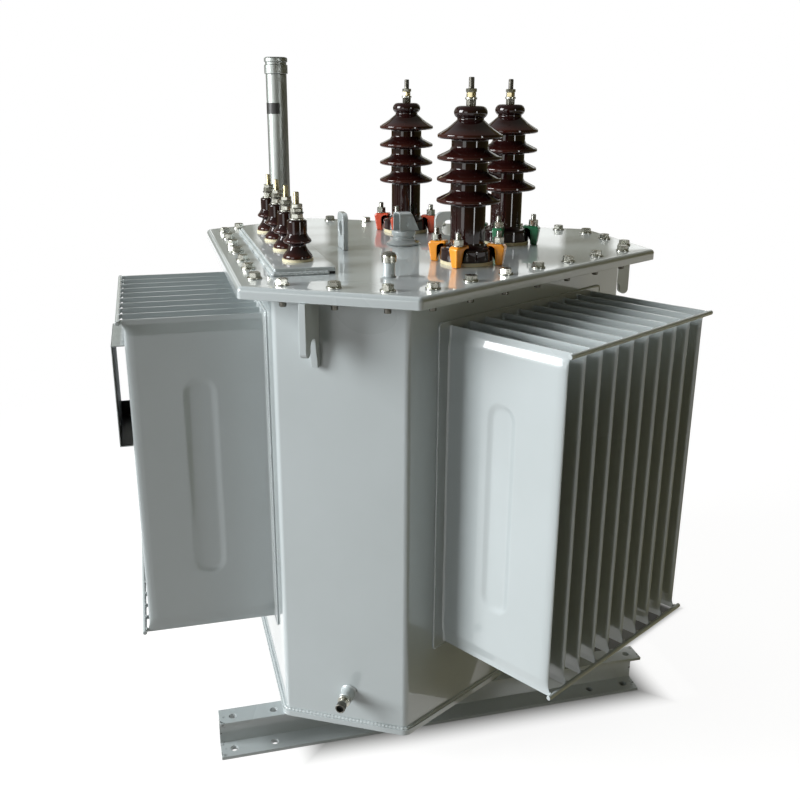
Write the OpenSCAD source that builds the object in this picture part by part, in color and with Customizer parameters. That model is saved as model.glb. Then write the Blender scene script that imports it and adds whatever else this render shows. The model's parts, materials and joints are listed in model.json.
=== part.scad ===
// Oil-filled three-phase distribution transformer with a six-sided tank and three fin banks.
// The rails run along X, Z is up, and the tank's axis stands over the origin at floor level.
// Faces of the tank are numbered 0 to 5 anticlockwise from +X: even ones are plain, odd ones carry fins.

/* [Rails] */
// Height of the channel rails
rail_h = 80; // [60:1:120]
// Width of the rail flanges
rail_w = 43; // [38:1:60]
// Thickness of the rail web
rail_web = 5; // [4:0.5:8]
// Thickness of the rail flanges at their tips
rail_flange = 6; // [4:0.5:9]
// Length of each rail
rail_len = 864; // [850:1:1000]
// Distance from the tank's foremost corner in to the back of each rail's web
rail_in = 156; // [136:1:196]
// Diameter of the floor bolt holes
floor_hole_d = 14; // [10:1:18]
// Distance of the outer floor holes from the ends of a rail
floor_hole_end = 25; // [15:1:40]
// Distance from each outer floor hole to the inner one beside it
floor_hole_pitch = 77; // [50:1:100]

/* [Tank] */
// Length of the three sides that carry fins
bank_side = 600; // [560:1:680]
// Length of the three plain sides
plain_side = 232; // [210:1:280]
// Thickness of the wall sheets
wall_t = 5; // [3:0.5:8]
// Outside radius of the bends at the tank's corners
wall_bend = 14; // [10:1:24]
// Thickness of the bottom plate
bottom_t = 10; // [6:1:14]
// Overhang of the bottom plate past the walls
bottom_lip = 6; // [3:1:15]
// Thickness of the flange that the cover is bolted to
flange_t = 10; // [8:1:16]
// Reach of the flange outside the walls
flange_out = 50; // [42:1:52]
// Reach of the flange inside the walls
flange_in = 12; // [8:1:30]

/* [Fin banks] */
// Number of fins in each bank
fin_count = 10; // [6:1:10]
// Spacing of the fins
fin_pitch = 45; // [36:1:46]
// Thickness of each fin
fin_t = 9; // [7:0.5:12]
// Reach of the fins' round outer edges from the wall
fin_depth = 237; // [190:1:300]
// Reach of the pinched seams past the outer edges
seam_flare = 5; // [4:1:16]
// Radius of the curve from an outer edge to its seam
seam_bend = 20; // [18:1:30]
// Height of the fins
fin_h = 596; // [500:1:620]
// Distance from the top of the wall to the top of the fins
fin_drop = 54; // [40:1:90]
// Distance from the bottom plate to the foot of the fins
fin_lift = 145; // [60:1:240]
// Thickness of the pinched seam at the ends of a fin
seam_t = 2.5; // [2:0.5:4]
// Height of the pinched seam
seam_h = 10; // [6:1:16]
// Height of the slope from the seam to the full thickness
seam_slope = 20; // [12:1:30]
// Depth of the pressed recess in each side of a fin
recess_depth = 2.5; // [0.5:0.25:3]
// Width of the pressed recess
recess_w = 48; // [30:1:60]
// Distance from the wall to the middle of the recess
recess_reach = 118; // [80:1:140]
// Distance from the ends of a fin to the ends of the recess
recess_inset = 113; // [60:1:160]
// Thickness of the panel that the fins stand on
panel_t = 2; // [1.5:0.5:4]
// Margin of the panel beyond the end fins
panel_margin = 28; // [20:1:36]
// Margin of the panel above and below the fins
panel_rise = 7; // [4:1:12]
// Lap of the panel over the edges of the wall opening
panel_lap = 8; // [5:1:12]
// Diameter of the tie rods
rod_d = 8; // [6:1:12]
// Overhang of the tie rods past the end fins
rod_over = 7; // [3:1:12]

/* [Cover] */
// Thickness of the cover sheet
cover_t = 5; // [4:0.5:7]
// Gap between the flange and the inside of the skirt
skirt_gap = 2; // [1:0.5:6]
// Height of the folded skirt
skirt_h = 20; // [16:1:30]
// Outside radius of the folded edge
cover_bend = 8; // [7.5:0.5:12]
// Thickness of the gasket under the cover
gasket_t = 4; // [3:0.5:8]

/* [Cover bolts] */
// Diameter of the bolts
bolt_d = 12; // [8:1:14]
// Clearance of the bolt holes all round
bolt_gap = 1; // [0.5:0.25:1.5]
// Distance of the bolts outside the walls
bolt_out = 22; // [18:1:30]
// Spacing of the bolts along the sides that carry fins
bolt_pitch_bank = 90; // [80:1:92]
// Spacing of the bolts along the plain sides
bolt_pitch_plain = 87; // [70:1:90]
// Number of bolts along each side that carries fins
bolt_count_bank = 7; // [5:1:7]
// Number of bolts along each plain side
bolt_count_plain = 3; // [2:1:3]
// Height of the bolt heads
bolt_head_h = 8; // [6:1:10]
// Thickness of the washers
bolt_washer_t = 2.5; // [1.5:0.5:4]
// Height of the nuts under the flange
bolt_nut_h = 8; // [6:1:12]
// Length of the bolt ends below the nuts
bolt_end = 8; // [4:1:20]

/* [High-voltage bushings] */
// Distance of the front and back bushings along the rails
hv_pair_x = 59; // [40:1:80]
// Distance of the front and back bushings to either side of the middle
hv_pair_y = 207; // [190:1:225]
// Distance of the right bushing along the rails
hv_single_x = 212; // [195:1:240]
// Thickness of the seal under each bushing
seal_t = 6; // [3:0.5:8]
// Diameter of the porcelain base
hv_base_d = 97; // [90:1:104]
// Height of the porcelain base
hv_base_h = 24; // [18:1:30]
// Rounding of the base's shoulder
hv_shoulder = 6; // [3:1:8]
// Radius of the hollow where the shank meets the base
hv_fillet = 6; // [3:1:8]
// Diameter of the shank between the base and the sheds
hv_shank_d = 62; // [54:1:70]
// Diameter of the body between the sheds
hv_body_d = 64; // [56:1:72]
// Diameter of the sheds
hv_shed_d = 113; // [100:1:124]
// Thickness of the sheds at their rims
hv_rim_t = 7; // [5:0.5:9]
// Height of the first shed above the cover
hv_shed_z = 111; // [100:1:120]
// Spacing of the sheds
hv_shed_pitch = 36.5; // [32:0.5:42]
// Number of sheds
hv_shed_count = 4; // [3:1:5]
// Rise of a shed from its rim to the body
hv_shed_rise = 14; // [9:1:24]
// Rise of the top shed from its rim to the neck
hv_cap_rise = 27; // [20:1:36]
// Diameter of the neck under the head
hv_neck_d = 46; // [34:1:54]
// Diameter of the head
hv_head_d = 58; // [50:1:68]
// Height of the head
hv_head_h = 22; // [18:1:30]
// Rounding of the head's edges
hv_head_round = 8; // [4:0.5:8.5]
// Diameter of the terminal stud
hv_stud_d = 10; // [8:1:16]
// Free length of the terminal stud above its nuts
hv_stud_free = 18; // [14:1:30]
// Height of the nuts and washers together
hv_nuts_h = 29; // [24:1:36]
// Number of claw clamps round each bushing
clamp_count = 4; // [3:1:4]
// Turn of the first clamp of each bushing
clamp_turn = 55; // [45:1:65]
// Width of each clamp
clamp_w = 21; // [14:1:24]
// Thickness of the clamp's arm
clamp_arm_t = 7; // [5:0.5:10]
// Reach of the clamp's arm over the base
clamp_grip = 10; // [6:1:12]
// Thickness of the clamp's leg at its top
clamp_leg_t = 22; // [12:1:26]
// Thickness of the clamp's leg at its foot
clamp_foot_t = 17; // [8:1:20]
// Rise of the arm's inner side from its tip to the leg
clamp_arch = 3; // [1:0.5:4]
// Diameter of the clamp bolts
clamp_bolt_d = 10; // [8:1:10]
// Height of the clamp nuts
clamp_nut_h = 12; // [6:1:14]
// Length of the clamp bolts above their nuts
clamp_bolt_end = 11; // [4:1:14]

/* [Low-voltage bushings] */
// Distance from the left wall in to the low-voltage row
lv_in = 64.15; // [57.15:0.05:69.15]
// Distance from each end of the low-voltage plate to the nearest bushing
lv_end = 76.5; // [50:0.5:100]
// Width of the low-voltage plate
lv_plate_w = 104; // [84:1:110]
// Length of the low-voltage plate
lv_plate_len = 516; // [460:1:524]
// Thickness of the low-voltage plate
lv_plate_t = 8; // [6:1:12]
// Thickness of the seal under each low-voltage bushing
lv_seal_t = 4; // [2:0.5:6]
// Diameter of the bell-shaped base
lv_base_d = 52; // [44:1:58]
// Diameter of the waist
lv_waist_d = 29; // [24:1:34]
// Height of the waist above its base
lv_waist_z = 22; // [16:1:24]
// Diameter of the shed
lv_shed_d = 49; // [42:1:56]
// Height of the shed's rim above its base
lv_shed_z = 30; // [28:1:40]
// Thickness of the shed at its rim
lv_rim_t = 5; // [4:0.5:7]
// Diameter of the head
lv_head_d = 34.5; // [30:0.5:38]
// Height of the head's top above its base
lv_head_z = 66; // [60:1:80]
// Rise of the shed from its rim to the head
lv_shed_rise = 14; // [10:1:20]
// Rounding of the head's edge
lv_head_round = 5; // [3:1:7]
// Diameter of the terminal stud
lv_stud_d = 10; // [8:1:14]
// Free length of the terminal stud above its nuts
lv_stud_free = 20; // [9:1:30]
// Height of the nuts and washers together
lv_nuts_h = 27; // [22:1:36]

/* [Gauge tube] */
// Distance from the low-voltage row in to the gauge tube, along the rails
gauge_side = 40; // [33:1:53]
// Least distance from the back wall in to the middle of the gauge tube
gauge_edge = 52; // [48:1:60]
// Distance of the gauge tube behind the end of the low-voltage plate
gauge_clear = 42; // [32:1:60]
// Diameter of the gauge tube
gauge_d = 44; // [36:1:48]
// Height of the gauge above the cover
gauge_h = 360; // [280:1:420]
// Reach of the cap past the tube all round
gauge_cap_lip = 2.5; // [1:0.5:5]
// Height of the cap
gauge_cap_h = 34; // [24:1:44]
// Wall thickness of the socket that the tube stands in
gauge_socket_t = 7; // [4:1:10]
// Height of the socket
gauge_socket_h = 16; // [10:1:30]

/* [Relief valve] */
// Distance of the relief valve along the rails
relief_x = 5; // [-5:1:15]
// Distance of the relief valve behind the middle
relief_y = 28; // [20:1:36]
// Diameter of the valve's base
relief_d = 68; // [62:1:74]
// Thickness of the base's rim
relief_rim_t = 4; // [3:0.5:6]
// Height of the flared base
relief_base_h = 9; // [8:1:16]
// Diameter of the neck
relief_neck_d = 42; // [36:1:46]
// Height of the bead above the base
relief_bead_h = 6; // [5:1:9]
// Height of the bare neck above the bead
relief_neck_h = 3; // [2:1:8]
// Diameter of the bead and of the collar
relief_collar_d = 48; // [46:1:58]
// Height of the collar
relief_collar_h = 10; // [8:1:16]
// Reach of the hood to its upright edge
relief_hood_left = 15.5; // [10:0.5:20]
// Reach of the hood to the foot of its sloping edge
relief_hood_right = 27.5; // [20:0.5:32]
// Reach of the hood to the top of its sloping edge
relief_hood_top = 10.5; // [6:0.5:16]
// Depth of the hood over its two legs
relief_hood_t = 30; // [24:1:34]
// Height of the hood
relief_hood_h = 36; // [24:1:40]
// Outside radius of the hood's two bends
relief_hood_bend = 9; // [5:1:11]
// Thickness of the hood's sheet
relief_sheet_t = 2; // [1.5:0.5:3]
// Diameter of the hole in each leg of the hood
relief_hole_d = 6; // [3:0.5:8]
// Turn of the hood
relief_hood_turn = 12; // [-40:1:40]

/* [Filler] */
// Distance of the filler along the rails
filler_x = -111; // [-120:1:-100]
// Distance of the filler behind the middle
filler_y = -306; // [-312:1:-300]
// Diameter of the filler's neck
filler_d = 20; // [16:1:23]
// Height of the filler's neck
filler_h = 24; // [16:1:32]
// Reach of the filler's cap past its neck all round
filler_cap_lip = 2.5; // [1:0.5:5]
// Height of the filler's cap
filler_cap_h = 18; // [14:1:24]

/* [Lifting] */
// Distance of the left cover lug from the axis
lug_left = 125; // [115:1:135]
// Distance of the right cover lug along the rails
lug_right_x = 79; // [70:1:88]
// Distance of the right cover lug in front of the middle
lug_right_y = 33; // [24:1:42]
// Width of the cover lugs
lug_w = 55; // [48:1:60]
// Height of the cover lugs
lug_h = 70; // [60:1:84]
// Thickness of the cover lugs
lug_t = 10; // [8:1:14]
// Diameter of the hole in the cover lugs
lug_hole_d = 30; // [20:1:32]
// Distance from the top of a cover lug to the middle of its hole
lug_hole_drop = 31; // [24:1:36]
// Rounding of the lugs' top corners
lug_round = 15; // [8:1:24]
// Shift of each tank hook from the middle of its wall
hook_shift = -40; // [-50:1:-34]
// Thickness of the tank hooks
hook_t = 12; // [8:1:16]
// Height of the tank hooks
hook_h = 116; // [100:1:130]
// Width of the hook's root beside the notch
hook_root = 18; // [14:1:24]
// Width of the hook's root at its foot
hook_foot = 10; // [6:1:13]
// Width of the notch
notch_w = 24; // [20:1:30]
// Height of the top of the notch above the foot
notch_h = 53; // [48:1:60]
// Width of the hook's finger
finger_w = 20; // [16:1:26]
// Height of the finger's tip above the foot
finger_z = 27; // [20:1:34]

/* [Nameplate bracket] */
// Height of the bracket
bracket_h = 182; // [120:1:220]
// Width of the bracket
bracket_w = 168; // [110:1:220]
// Distance of the bracket's face from the fins
bracket_stand = 23; // [20:1:40]
// Thickness of the bracket's sheet
bracket_t = 2; // [1.5:0.5:4]
// Distance from the top of the fins to the top of the bracket
bracket_drop = 44; // [34:1:80]
// Height of the bracket's side leg
bracket_leg_h = 32; // [20:1:110]

/* [Drain] */
// Height of the drain above the bottom plate
drain_z = 60; // [40:1:100]
// Shift of the drain from the middle of its wall
drain_shift = 8; // [0:1:20]
// Diameter of the drain's boss
drain_boss_d = 24; // [20:1:32]
// Length of the drain's boss
drain_boss_len = 26; // [18:1:36]
// Diameter of the drain's collar
drain_collar_d = 23; // [19:1:30]
// Length of the drain's collar
drain_collar_len = 6; // [4:1:10]
// Diameter of the drain's nozzle
drain_nozzle_d = 14; // [10:1:18]
// Length of the drain's nozzle
drain_nozzle_len = 9; // [6:1:16]
// Diameter of the drain's plug
drain_plug_d = 18; // [14:1:22]
// Length of the drain's plug
drain_plug_len = 12; // [8:1:18]

/* [Hidden] */
$fn = 48;
// Slope of the inner faces of the rail flanges
rail_taper = 0.1;
// Clearance where round pieces lie against others
seat_gap = 0.2;
// Extra length that carries a cut past a face, or one piece of a solid into the next
cut = 1;
// Step from the edge of a bushing, plate or bead to the edge of what lies under it
edge_step = 1;
// Setback of the cover gasket from the edges of the flange
gasket_setback = 5;
// Turn between neighbouring faces of the tank
face_turn = 60;
// Heights of the main faces above the floor
bottom_top = rail_h + bottom_t;
fin_foot = bottom_top + fin_lift;
fin_top = fin_foot + fin_h;
wall_top = fin_top + fin_drop;
wall_h = wall_top - bottom_top;
flange_top = wall_top + flange_t;
cover_under = flange_top + gasket_t;
cover_top = cover_under + cover_t;
skirt_foot = cover_top - skirt_h;
// Overhang of the cover past the walls
cover_over = flange_out + skirt_gap + cover_t;
// Width of the gasket's land on either side of the walls
gasket_out = flange_out - gasket_setback;
gasket_in = flange_in - gasket_setback;
// Spans of the fins and of the panel that they stand on
fin_span = (fin_count - 1) * fin_pitch;
panel_w = fin_span + 2 * panel_margin;
opening_w = panel_w - 2 * panel_lap;
opening_foot = fin_foot - panel_rise + panel_lap;
opening_top = fin_top + panel_rise - panel_lap;
// Places of the rails and of their floor holes
rail_back = (bank_side + plain_side) / 2 - rail_in;
floor_hole_y = rail_back + (rail_w + rail_web) / 2;
floor_hole_out = rail_len / 2 - floor_hole_end;
floor_hole_in = floor_hole_out - floor_hole_pitch;
// Heights in a high-voltage bushing above the cover
hv_base_top = seal_t + hv_base_h;
hv_cap_z = hv_shed_z + (hv_shed_count - 1) * hv_shed_pitch;
hv_neck_z = hv_cap_z + hv_cap_rise;
hv_head_top = hv_neck_z + hv_head_h;
clamp_near = hv_base_d / 2 + seat_gap;
clamp_top = hv_base_top + seat_gap + clamp_arm_t;
hv_places = [[hv_pair_x, -hv_pair_y], [hv_single_x, 0], [hv_pair_x, hv_pair_y]];
// Place of the clamp bolts as a share of the leg's thickness
clamp_bolt_share = 0.4;
clamp_step = 360 / clamp_count;
// Three phases and a neutral in a row
lv_count = 4;
lv_pitch = (lv_plate_len - 2 * lv_end) / (lv_count - 1);
// Line and seats of the low-voltage bushings
lv_x = lv_in - reach(3);
lv_plate_z = cover_top + gasket_t;
lv_seat_z = lv_plate_z + lv_plate_t;
// Place and diameters of the gauge
gauge_y = lv_plate_len / 2 + gauge_clear;
gauge_back_x = (gauge_y * cos(face_turn / 2) - reach(2) + gauge_edge) / sin(face_turn / 2);
gauge_x = max(lv_x + gauge_side, gauge_back_x);
gauge_cap_d = gauge_d + 2 * gauge_cap_lip;
gauge_socket_d = gauge_d + 2 * (gauge_socket_t + seat_gap);
// Bands of the gauge cap as shares of its height, from its foot
gauge_cap_bands = [[0, 0.55], [0.7, 0.95]];
// Diameter of the filler's cap
filler_cap_d = filler_d + 2 * filler_cap_lip;
// Shares of the lower nut and of the washers in the height of a nut stack
low_nut_share = 0.38;
washer_share = 0.14;
// Width across the corners of the nuts, and of the washers, for a stud's diameter
nut_ratio = 1.75;
washer_ratio = 2.1;
stud_chamfer = 1;
paint = "#B4BBBC";
porcelain = "#2A1214";
zinc = "#C9CBC8";
cream = "#D9CFAE";

// Distance from the axis to face i, moved outwards
function reach(i, out = 0) =
    i % 2 == 0 ? (plain_side + 2 * bank_side) / (2 * sqrt(3)) + out
               : (bank_side + 2 * plain_side) / (2 * sqrt(3)) + out;

// Direction square to face i
function normal(i) = [cos(face_turn * i), sin(face_turn * i)];

// Direction along face i
function along(i) = [-sin(face_turn * i), cos(face_turn * i)];

// Point at a distance from the axis and a shift along face i
function face_point(i, far, shift) = far * normal(i) + shift * along(i);

// Corner between face i and the next one, on an outline moved outwards
function corner(i, out = 0) =
    face_point(i, reach(i, out), (reach(i + 1, out) - reach(i, out) * cos(face_turn)) / sin(face_turn));

// Turns its children so that X points out of face i
module on_face(i) {
    rotate(face_turn * i)
        children();
}

// Six-sided outline with sharp corners
module outline(out) {
    polygon([for (i = [0:5]) corner(i, out)]);
}

// Six-sided outline with round corners
module round_outline(out, r) {
    polygon([for (i = [0:5], k = [0, 1]) corner(i, out - r) + r * normal(i + k)]);
    for (i = [0:5])
        translate(corner(i, out - r))
            circle(r);
}

// Cross-section of a channel rail, back at the origin and flanges along X
module channel() {
    thick = rail_flange + rail_taper * (rail_w - rail_web);
    polygon([
        [0, 0], [rail_w, 0], [rail_w, rail_flange], [rail_web, thick],
        [rail_web, rail_h - thick], [rail_w, rail_h - rail_flange], [rail_w, rail_h], [0, rail_h]
    ]);
}

// Rail with its floor holes, flanges pointing along +Y
module rail() {
    difference() {
        translate([-rail_len / 2, rail_back, 0])
            rotate([90, 0, 90])
                linear_extrude(rail_len)
                    channel();
        for (x = [-floor_hole_out, -floor_hole_in, floor_hole_in, floor_hole_out])
            translate([x, floor_hole_y, -cut])
                cylinder(d = floor_hole_d, h = rail_h + 2 * cut);
    }
}

module rail_front() {
    color(paint)
        rotate(180)
            rail();
}

module rail_back_side() {
    color(paint)
        rail();
}

module bottom_plate() {
    color(paint)
        translate([0, 0, rail_h])
            linear_extrude(bottom_t)
                round_outline(bottom_lip, wall_bend + bottom_lip);
}

// Area that holds plain face i and its two folded edges up to the openings for the fins
module wall_area(i) {
    half = opening_w / 2;
    far = reach(i + 1, bottom_lip);
    near = reach(i + 1, -2 * wall_bend);
    polygon([
        face_point(i - 1, near, half), face_point(i - 1, far, half), corner(i - 1, bottom_lip),
        corner(i, bottom_lip), face_point(i + 1, far, -half), face_point(i + 1, near, -half)
    ]);
}

// Plain wall of face i, bent round both corners
module plain_wall(i) {
    color(paint)
        translate([0, 0, bottom_top])
            linear_extrude(wall_h)
                intersection() {
                    difference() {
                        round_outline(0, wall_bend);
                        round_outline(-wall_t, wall_bend - wall_t);
                    }
                    wall_area(i);
                }
}

module front_wall() {
    plain_wall(4);
}

module right_wall() {
    plain_wall(6);
}

module back_wall() {
    plain_wall(2);
}

// Strips of wall above and below the opening in face i
module wall_strips(i) {
    color(paint)
        on_face(i)
            translate([reach(i, -wall_t), -opening_w / 2, 0]) {
                translate([0, 0, bottom_top])
                    cube([wall_t, opening_w, opening_foot - bottom_top]);
                translate([0, 0, opening_top])
                    cube([wall_t, opening_w, wall_top - opening_top]);
            }
}

module left_wall_strips() {
    wall_strips(3);
}

module front_wall_strips() {
    wall_strips(5);
}

module back_wall_strips() {
    wall_strips(1);
}

// Plan of a fin with a round outer edge
module fin_plan() {
    translate([0, -fin_t / 2])
        square([fin_depth - fin_t / 2, fin_t]);
    translate([fin_depth - fin_t / 2, 0])
        circle(d = fin_t);
}

// End view of a fin, pinched to a seam at both ends
module fin_end_view() {
    full = fin_t / 2 + cut;
    seam = seam_t / 2;
    spread = (full - seam) / (fin_t / 2 - seam);
    low = seam_h + seam_slope * spread;
    polygon([
        [-seam, 0], [seam, 0], [seam, seam_h], [full, low], [full, fin_h - low],
        [seam, fin_h - seam_h], [seam, fin_h], [-seam, fin_h], [-seam, fin_h - seam_h],
        [-full, fin_h - low], [-full, low], [-seam, seam_h]
    ]);
}

// Side view of the pressed recess
module recess_view() {
    run = fin_h - 2 * recess_inset - recess_w;
    translate([recess_reach - recess_w / 2, recess_inset + recess_w / 2])
        square([recess_w, run]);
    for (z = [0, run])
        translate([recess_reach, recess_inset + recess_w / 2 + z])
            circle(d = recess_w);
}

// Side view of a seam that flares out to its tie rod, top edge at the origin's height
module seam_view() {
    drop = rod_d + sqrt(pow(seam_bend, 2) - pow(seam_bend - seam_flare, 2));
    translate([0, -drop])
        difference() {
            square([fin_depth + seam_flare, drop]);
            translate([fin_depth + seam_bend, 0])
                circle(seam_bend);
        }
}

// Hollow-pressed fin standing on the wall's face, foot at the origin
module fin() {
    difference() {
        intersection() {
            linear_extrude(fin_h)
                fin_plan();
            rotate([90, 0, 90])
                linear_extrude(fin_depth + cut)
                    fin_end_view();
        }
        for (side = [-1, 1])
            translate([0, side * fin_t / 2, 0])
                rotate([90, 0, 0])
                    linear_extrude(2 * recess_depth, center = true)
                        recess_view();
    }
    for (end = [0, 1])
        translate([0, 0, end * fin_h])
            mirror([0, 0, 1 - end])
                rotate([90, 0, 0])
                    linear_extrude(seam_t, center = true)
                        seam_view();
}

// Panel and fins of face i
module fin_bank(i) {
    color(paint)
        on_face(i)
            translate([reach(i), 0, fin_foot]) {
                translate([0, -panel_w / 2, -panel_rise])
                    cube([panel_t, panel_w, fin_h + 2 * panel_rise]);
                for (k = [0:fin_count - 1])
                    translate([0, k * fin_pitch - fin_span / 2, 0])
                        fin();
            }
}

module left_fin_bank() {
    fin_bank(3);
}

module front_fin_bank() {
    fin_bank(5);
}

module back_fin_bank() {
    fin_bank(1);
}

// Rods along the outer corners of the fins of face i
module tie_rods(i) {
    len = fin_span + fin_t + 2 * rod_over;
    color(paint)
        on_face(i)
            for (z = [fin_foot + rod_d / 2, fin_top - rod_d / 2])
                translate([reach(i, fin_depth + seam_flare + rod_d / 2 + seat_gap), 0, z])
                    rotate([90, 0, 0])
                        cylinder(d = rod_d, h = len, center = true);
}

module left_tie_rods() {
    tie_rods(3);
}

module front_tie_rods() {
    tie_rods(5);
}

module back_tie_rods() {
    tie_rods(1);
}

// Places its children at each cover bolt
module bolt_places() {
    for (i = [0:5]) {
        count = i % 2 == 0 ? bolt_count_plain : bolt_count_bank;
        pitch = i % 2 == 0 ? bolt_pitch_plain : bolt_pitch_bank;
        for (k = [0:count - 1])
            translate(face_point(i, reach(i, bolt_out), (k - (count - 1) / 2) * pitch))
                rotate(face_turn * i)
                    children();
    }
}

// Plan of the holes for the cover bolts
module bolt_hole_plan() {
    bolt_places()
        circle(d = bolt_d + 2 * bolt_gap);
}

module tank_flange() {
    color(paint)
        translate([0, 0, wall_top])
            linear_extrude(flange_t)
                difference() {
                    outline(flange_out);
                    outline(-flange_in);
                    bolt_hole_plan();
                }
}

module cover_gasket() {
    color("#2B2B2B")
        translate([0, 0, flange_top])
            linear_extrude(gasket_t)
                difference() {
                    outline(gasket_out);
                    outline(-gasket_in);
                    bolt_hole_plan();
                }
}

// End view of a plate with both top edges rounded, from the bank side at -X to the plain side at +X
module folded_view(out, foot, top, r) {
    left = -reach(3, out);
    right = reach(0, out);
    translate([left, foot])
        square([right - left, top - r - foot]);
    translate([left + r, foot])
        square([right - left - 2 * r, top - foot]);
    for (x = [left + r, right - r])
        translate([x, top - r])
            circle(r);
}

// Six-sided block with a rounded top edge all round
module folded_block(out, foot, top, r) {
    intersection_for (k = [0:2])
        rotate(2 * k * face_turn)
            rotate([90, 0, 0])
                linear_extrude(4 * bank_side, center = true)
                    folded_view(out, foot, top, r);
}

module cover() {
    color(paint)
        difference() {
            folded_block(cover_over, skirt_foot, cover_top, cover_bend);
            folded_block(cover_over - cover_t, skirt_foot - cut, cover_under, cover_bend - cover_t);
            translate([0, 0, cover_under - cut])
                linear_extrude(cover_t + 2 * cut)
                    bolt_hole_plan();
        }
}

// Bolt with its washer and nut, from the nut's end to the head
module cover_bolt() {
    nut_z = wall_top - bolt_nut_h;
    head_z = cover_top + bolt_washer_t;
    translate([0, 0, nut_z - bolt_end])
        cylinder(d = bolt_d, h = head_z + cut - nut_z + bolt_end);
    translate([0, 0, nut_z])
        cylinder(d = nut_ratio * bolt_d, h = bolt_nut_h, $fn = 6);
    translate([0, 0, cover_top])
        cylinder(d = washer_ratio * bolt_d, h = bolt_washer_t);
    translate([0, 0, head_z])
        cylinder(d = nut_ratio * bolt_d, h = bolt_head_h, $fn = 6);
}

module cover_bolts() {
    color(zinc)
        bolt_places()
            cover_bolt();
}

// Half-view of one shed with a round rim
module shed(z, body_d, shed_d, rim_t, rise, top_d) {
    rim = rim_t / 2;
    polygon([
        [0, z - rim_t], [body_d / 2, z - rim_t], [shed_d / 2 - rim, z - rim],
        [shed_d / 2 - rim, z + rim], [top_d / 2, z + rise], [0, z + rise]
    ]);
    translate([shed_d / 2 - rim, z])
        circle(rim);
}

// Half-view of a round block with its top edge rounded, and its lower edge too where asked
module round_block(foot, top, d, r, both) {
    low = both ? foot + r : foot;
    translate([0, low])
        square([d / 2, top - r - low]);
    translate([0, foot])
        square([d / 2 - r, top - foot]);
    for (z = both ? [foot + r, top - r] : [top - r])
        translate([d / 2 - r, z])
            circle(r);
}

// Half-view of a hollow fillet in the corner between a shank and its base
module hollow_corner(r) {
    difference() {
        square(r + cut);
        translate([r + cut, r + cut])
            circle(r);
    }
}

// Porcelain of a high-voltage bushing, foot of its base at the origin's height plus the seal
module hv_insulator(place) {
    color(porcelain)
        translate([place.x, place.y, cover_top])
            rotate_extrude() {
                round_block(seal_t, hv_base_top, hv_base_d, hv_shoulder, false);
                translate([0, hv_base_top - cut])
                    square([hv_shank_d / 2, hv_shed_z - hv_base_top]);
                translate([hv_shank_d / 2 - cut, hv_base_top - cut])
                    hollow_corner(hv_fillet);
                translate([0, hv_shed_z])
                    square([hv_body_d / 2, hv_cap_z - hv_shed_z]);
                for (z = [hv_shed_z:hv_shed_pitch:hv_cap_z - hv_shed_pitch / 2])
                    shed(z, hv_body_d, hv_shed_d, hv_rim_t, hv_shed_rise, hv_body_d);
                shed(hv_cap_z, hv_body_d, hv_shed_d, hv_rim_t, hv_cap_rise + cut, hv_neck_d);
                round_block(hv_neck_z, hv_head_top, hv_head_d, hv_head_round, true);
            }
}

module hv_insulator_front() {
    hv_insulator(hv_places[0]);
}

module hv_insulator_right() {
    hv_insulator(hv_places[1]);
}

module hv_insulator_back() {
    hv_insulator(hv_places[2]);
}

module hv_seals() {
    color(cream)
        for (place = hv_places)
            translate([place.x, place.y, cover_top])
                cylinder(d = hv_base_d - 2 * edge_step, h = seal_t);
}

// Nut, washer, upper nut and a stud with a chamfered tip, standing on the origin
module terminal(stud_d, nuts_h, free) {
    washer_z = nuts_h * low_nut_share;
    nut_z = washer_z + nuts_h * washer_share;
    cylinder(d = nut_ratio * stud_d, h = nut_z, $fn = 6);
    translate([0, 0, washer_z])
        cylinder(d = washer_ratio * stud_d, h = nut_z - washer_z);
    translate([0, 0, nut_z])
        rotate(face_turn / 2)
            cylinder(d = nut_ratio * stud_d, h = nuts_h - nut_z, $fn = 6);
    cylinder(d = stud_d, h = nuts_h + free - stud_chamfer);
    translate([0, 0, nuts_h + free - stud_chamfer])
        cylinder(d1 = stud_d, d2 = stud_d - 2 * stud_chamfer, h = stud_chamfer);
}

module hv_studs() {
    color(zinc)
        for (place = hv_places)
            translate([place.x, place.y, cover_top + hv_head_top])
                terminal(hv_stud_d, hv_nuts_h, hv_stud_free);
}

// Claw clamps round one bushing
module hv_clamps(place, tint) {
    tip = clamp_near - clamp_grip;
    arm_z = hv_base_top + seat_gap;
    color(tint)
        translate([place.x, place.y, cover_top])
            for (k = [0:clamp_count - 1])
                rotate([90, 0, clamp_turn + k * clamp_step])
                    linear_extrude(clamp_w, center = true)
                        polygon([
                            [clamp_near, 0], [clamp_near + clamp_foot_t, 0],
                            [clamp_near + clamp_leg_t, clamp_top], [tip, clamp_top], [tip, arm_z],
                            [tip + clamp_arch, arm_z], [clamp_near, arm_z + clamp_arch]
                        ]);
}

module hv_clamps_front() {
    hv_clamps(hv_places[0], "#F0A818");
}

module hv_clamps_right() {
    hv_clamps(hv_places[1], "#1F6B45");
}

module hv_clamps_back() {
    hv_clamps(hv_places[2], "#C8431C");
}

// Nuts and bolt ends on all the clamps
module clamp_bolts() {
    color(zinc)
        for (place = hv_places, k = [0:clamp_count - 1])
            translate([place.x, place.y, cover_top + clamp_top])
                rotate(clamp_turn + k * clamp_step)
                    translate([clamp_near + clamp_bolt_share * clamp_leg_t, 0, 0]) {
                        cylinder(d = nut_ratio * clamp_bolt_d, h = clamp_nut_h, $fn = 6);
                        cylinder(d = clamp_bolt_d, h = clamp_nut_h + clamp_bolt_end);
                    }
}

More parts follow.
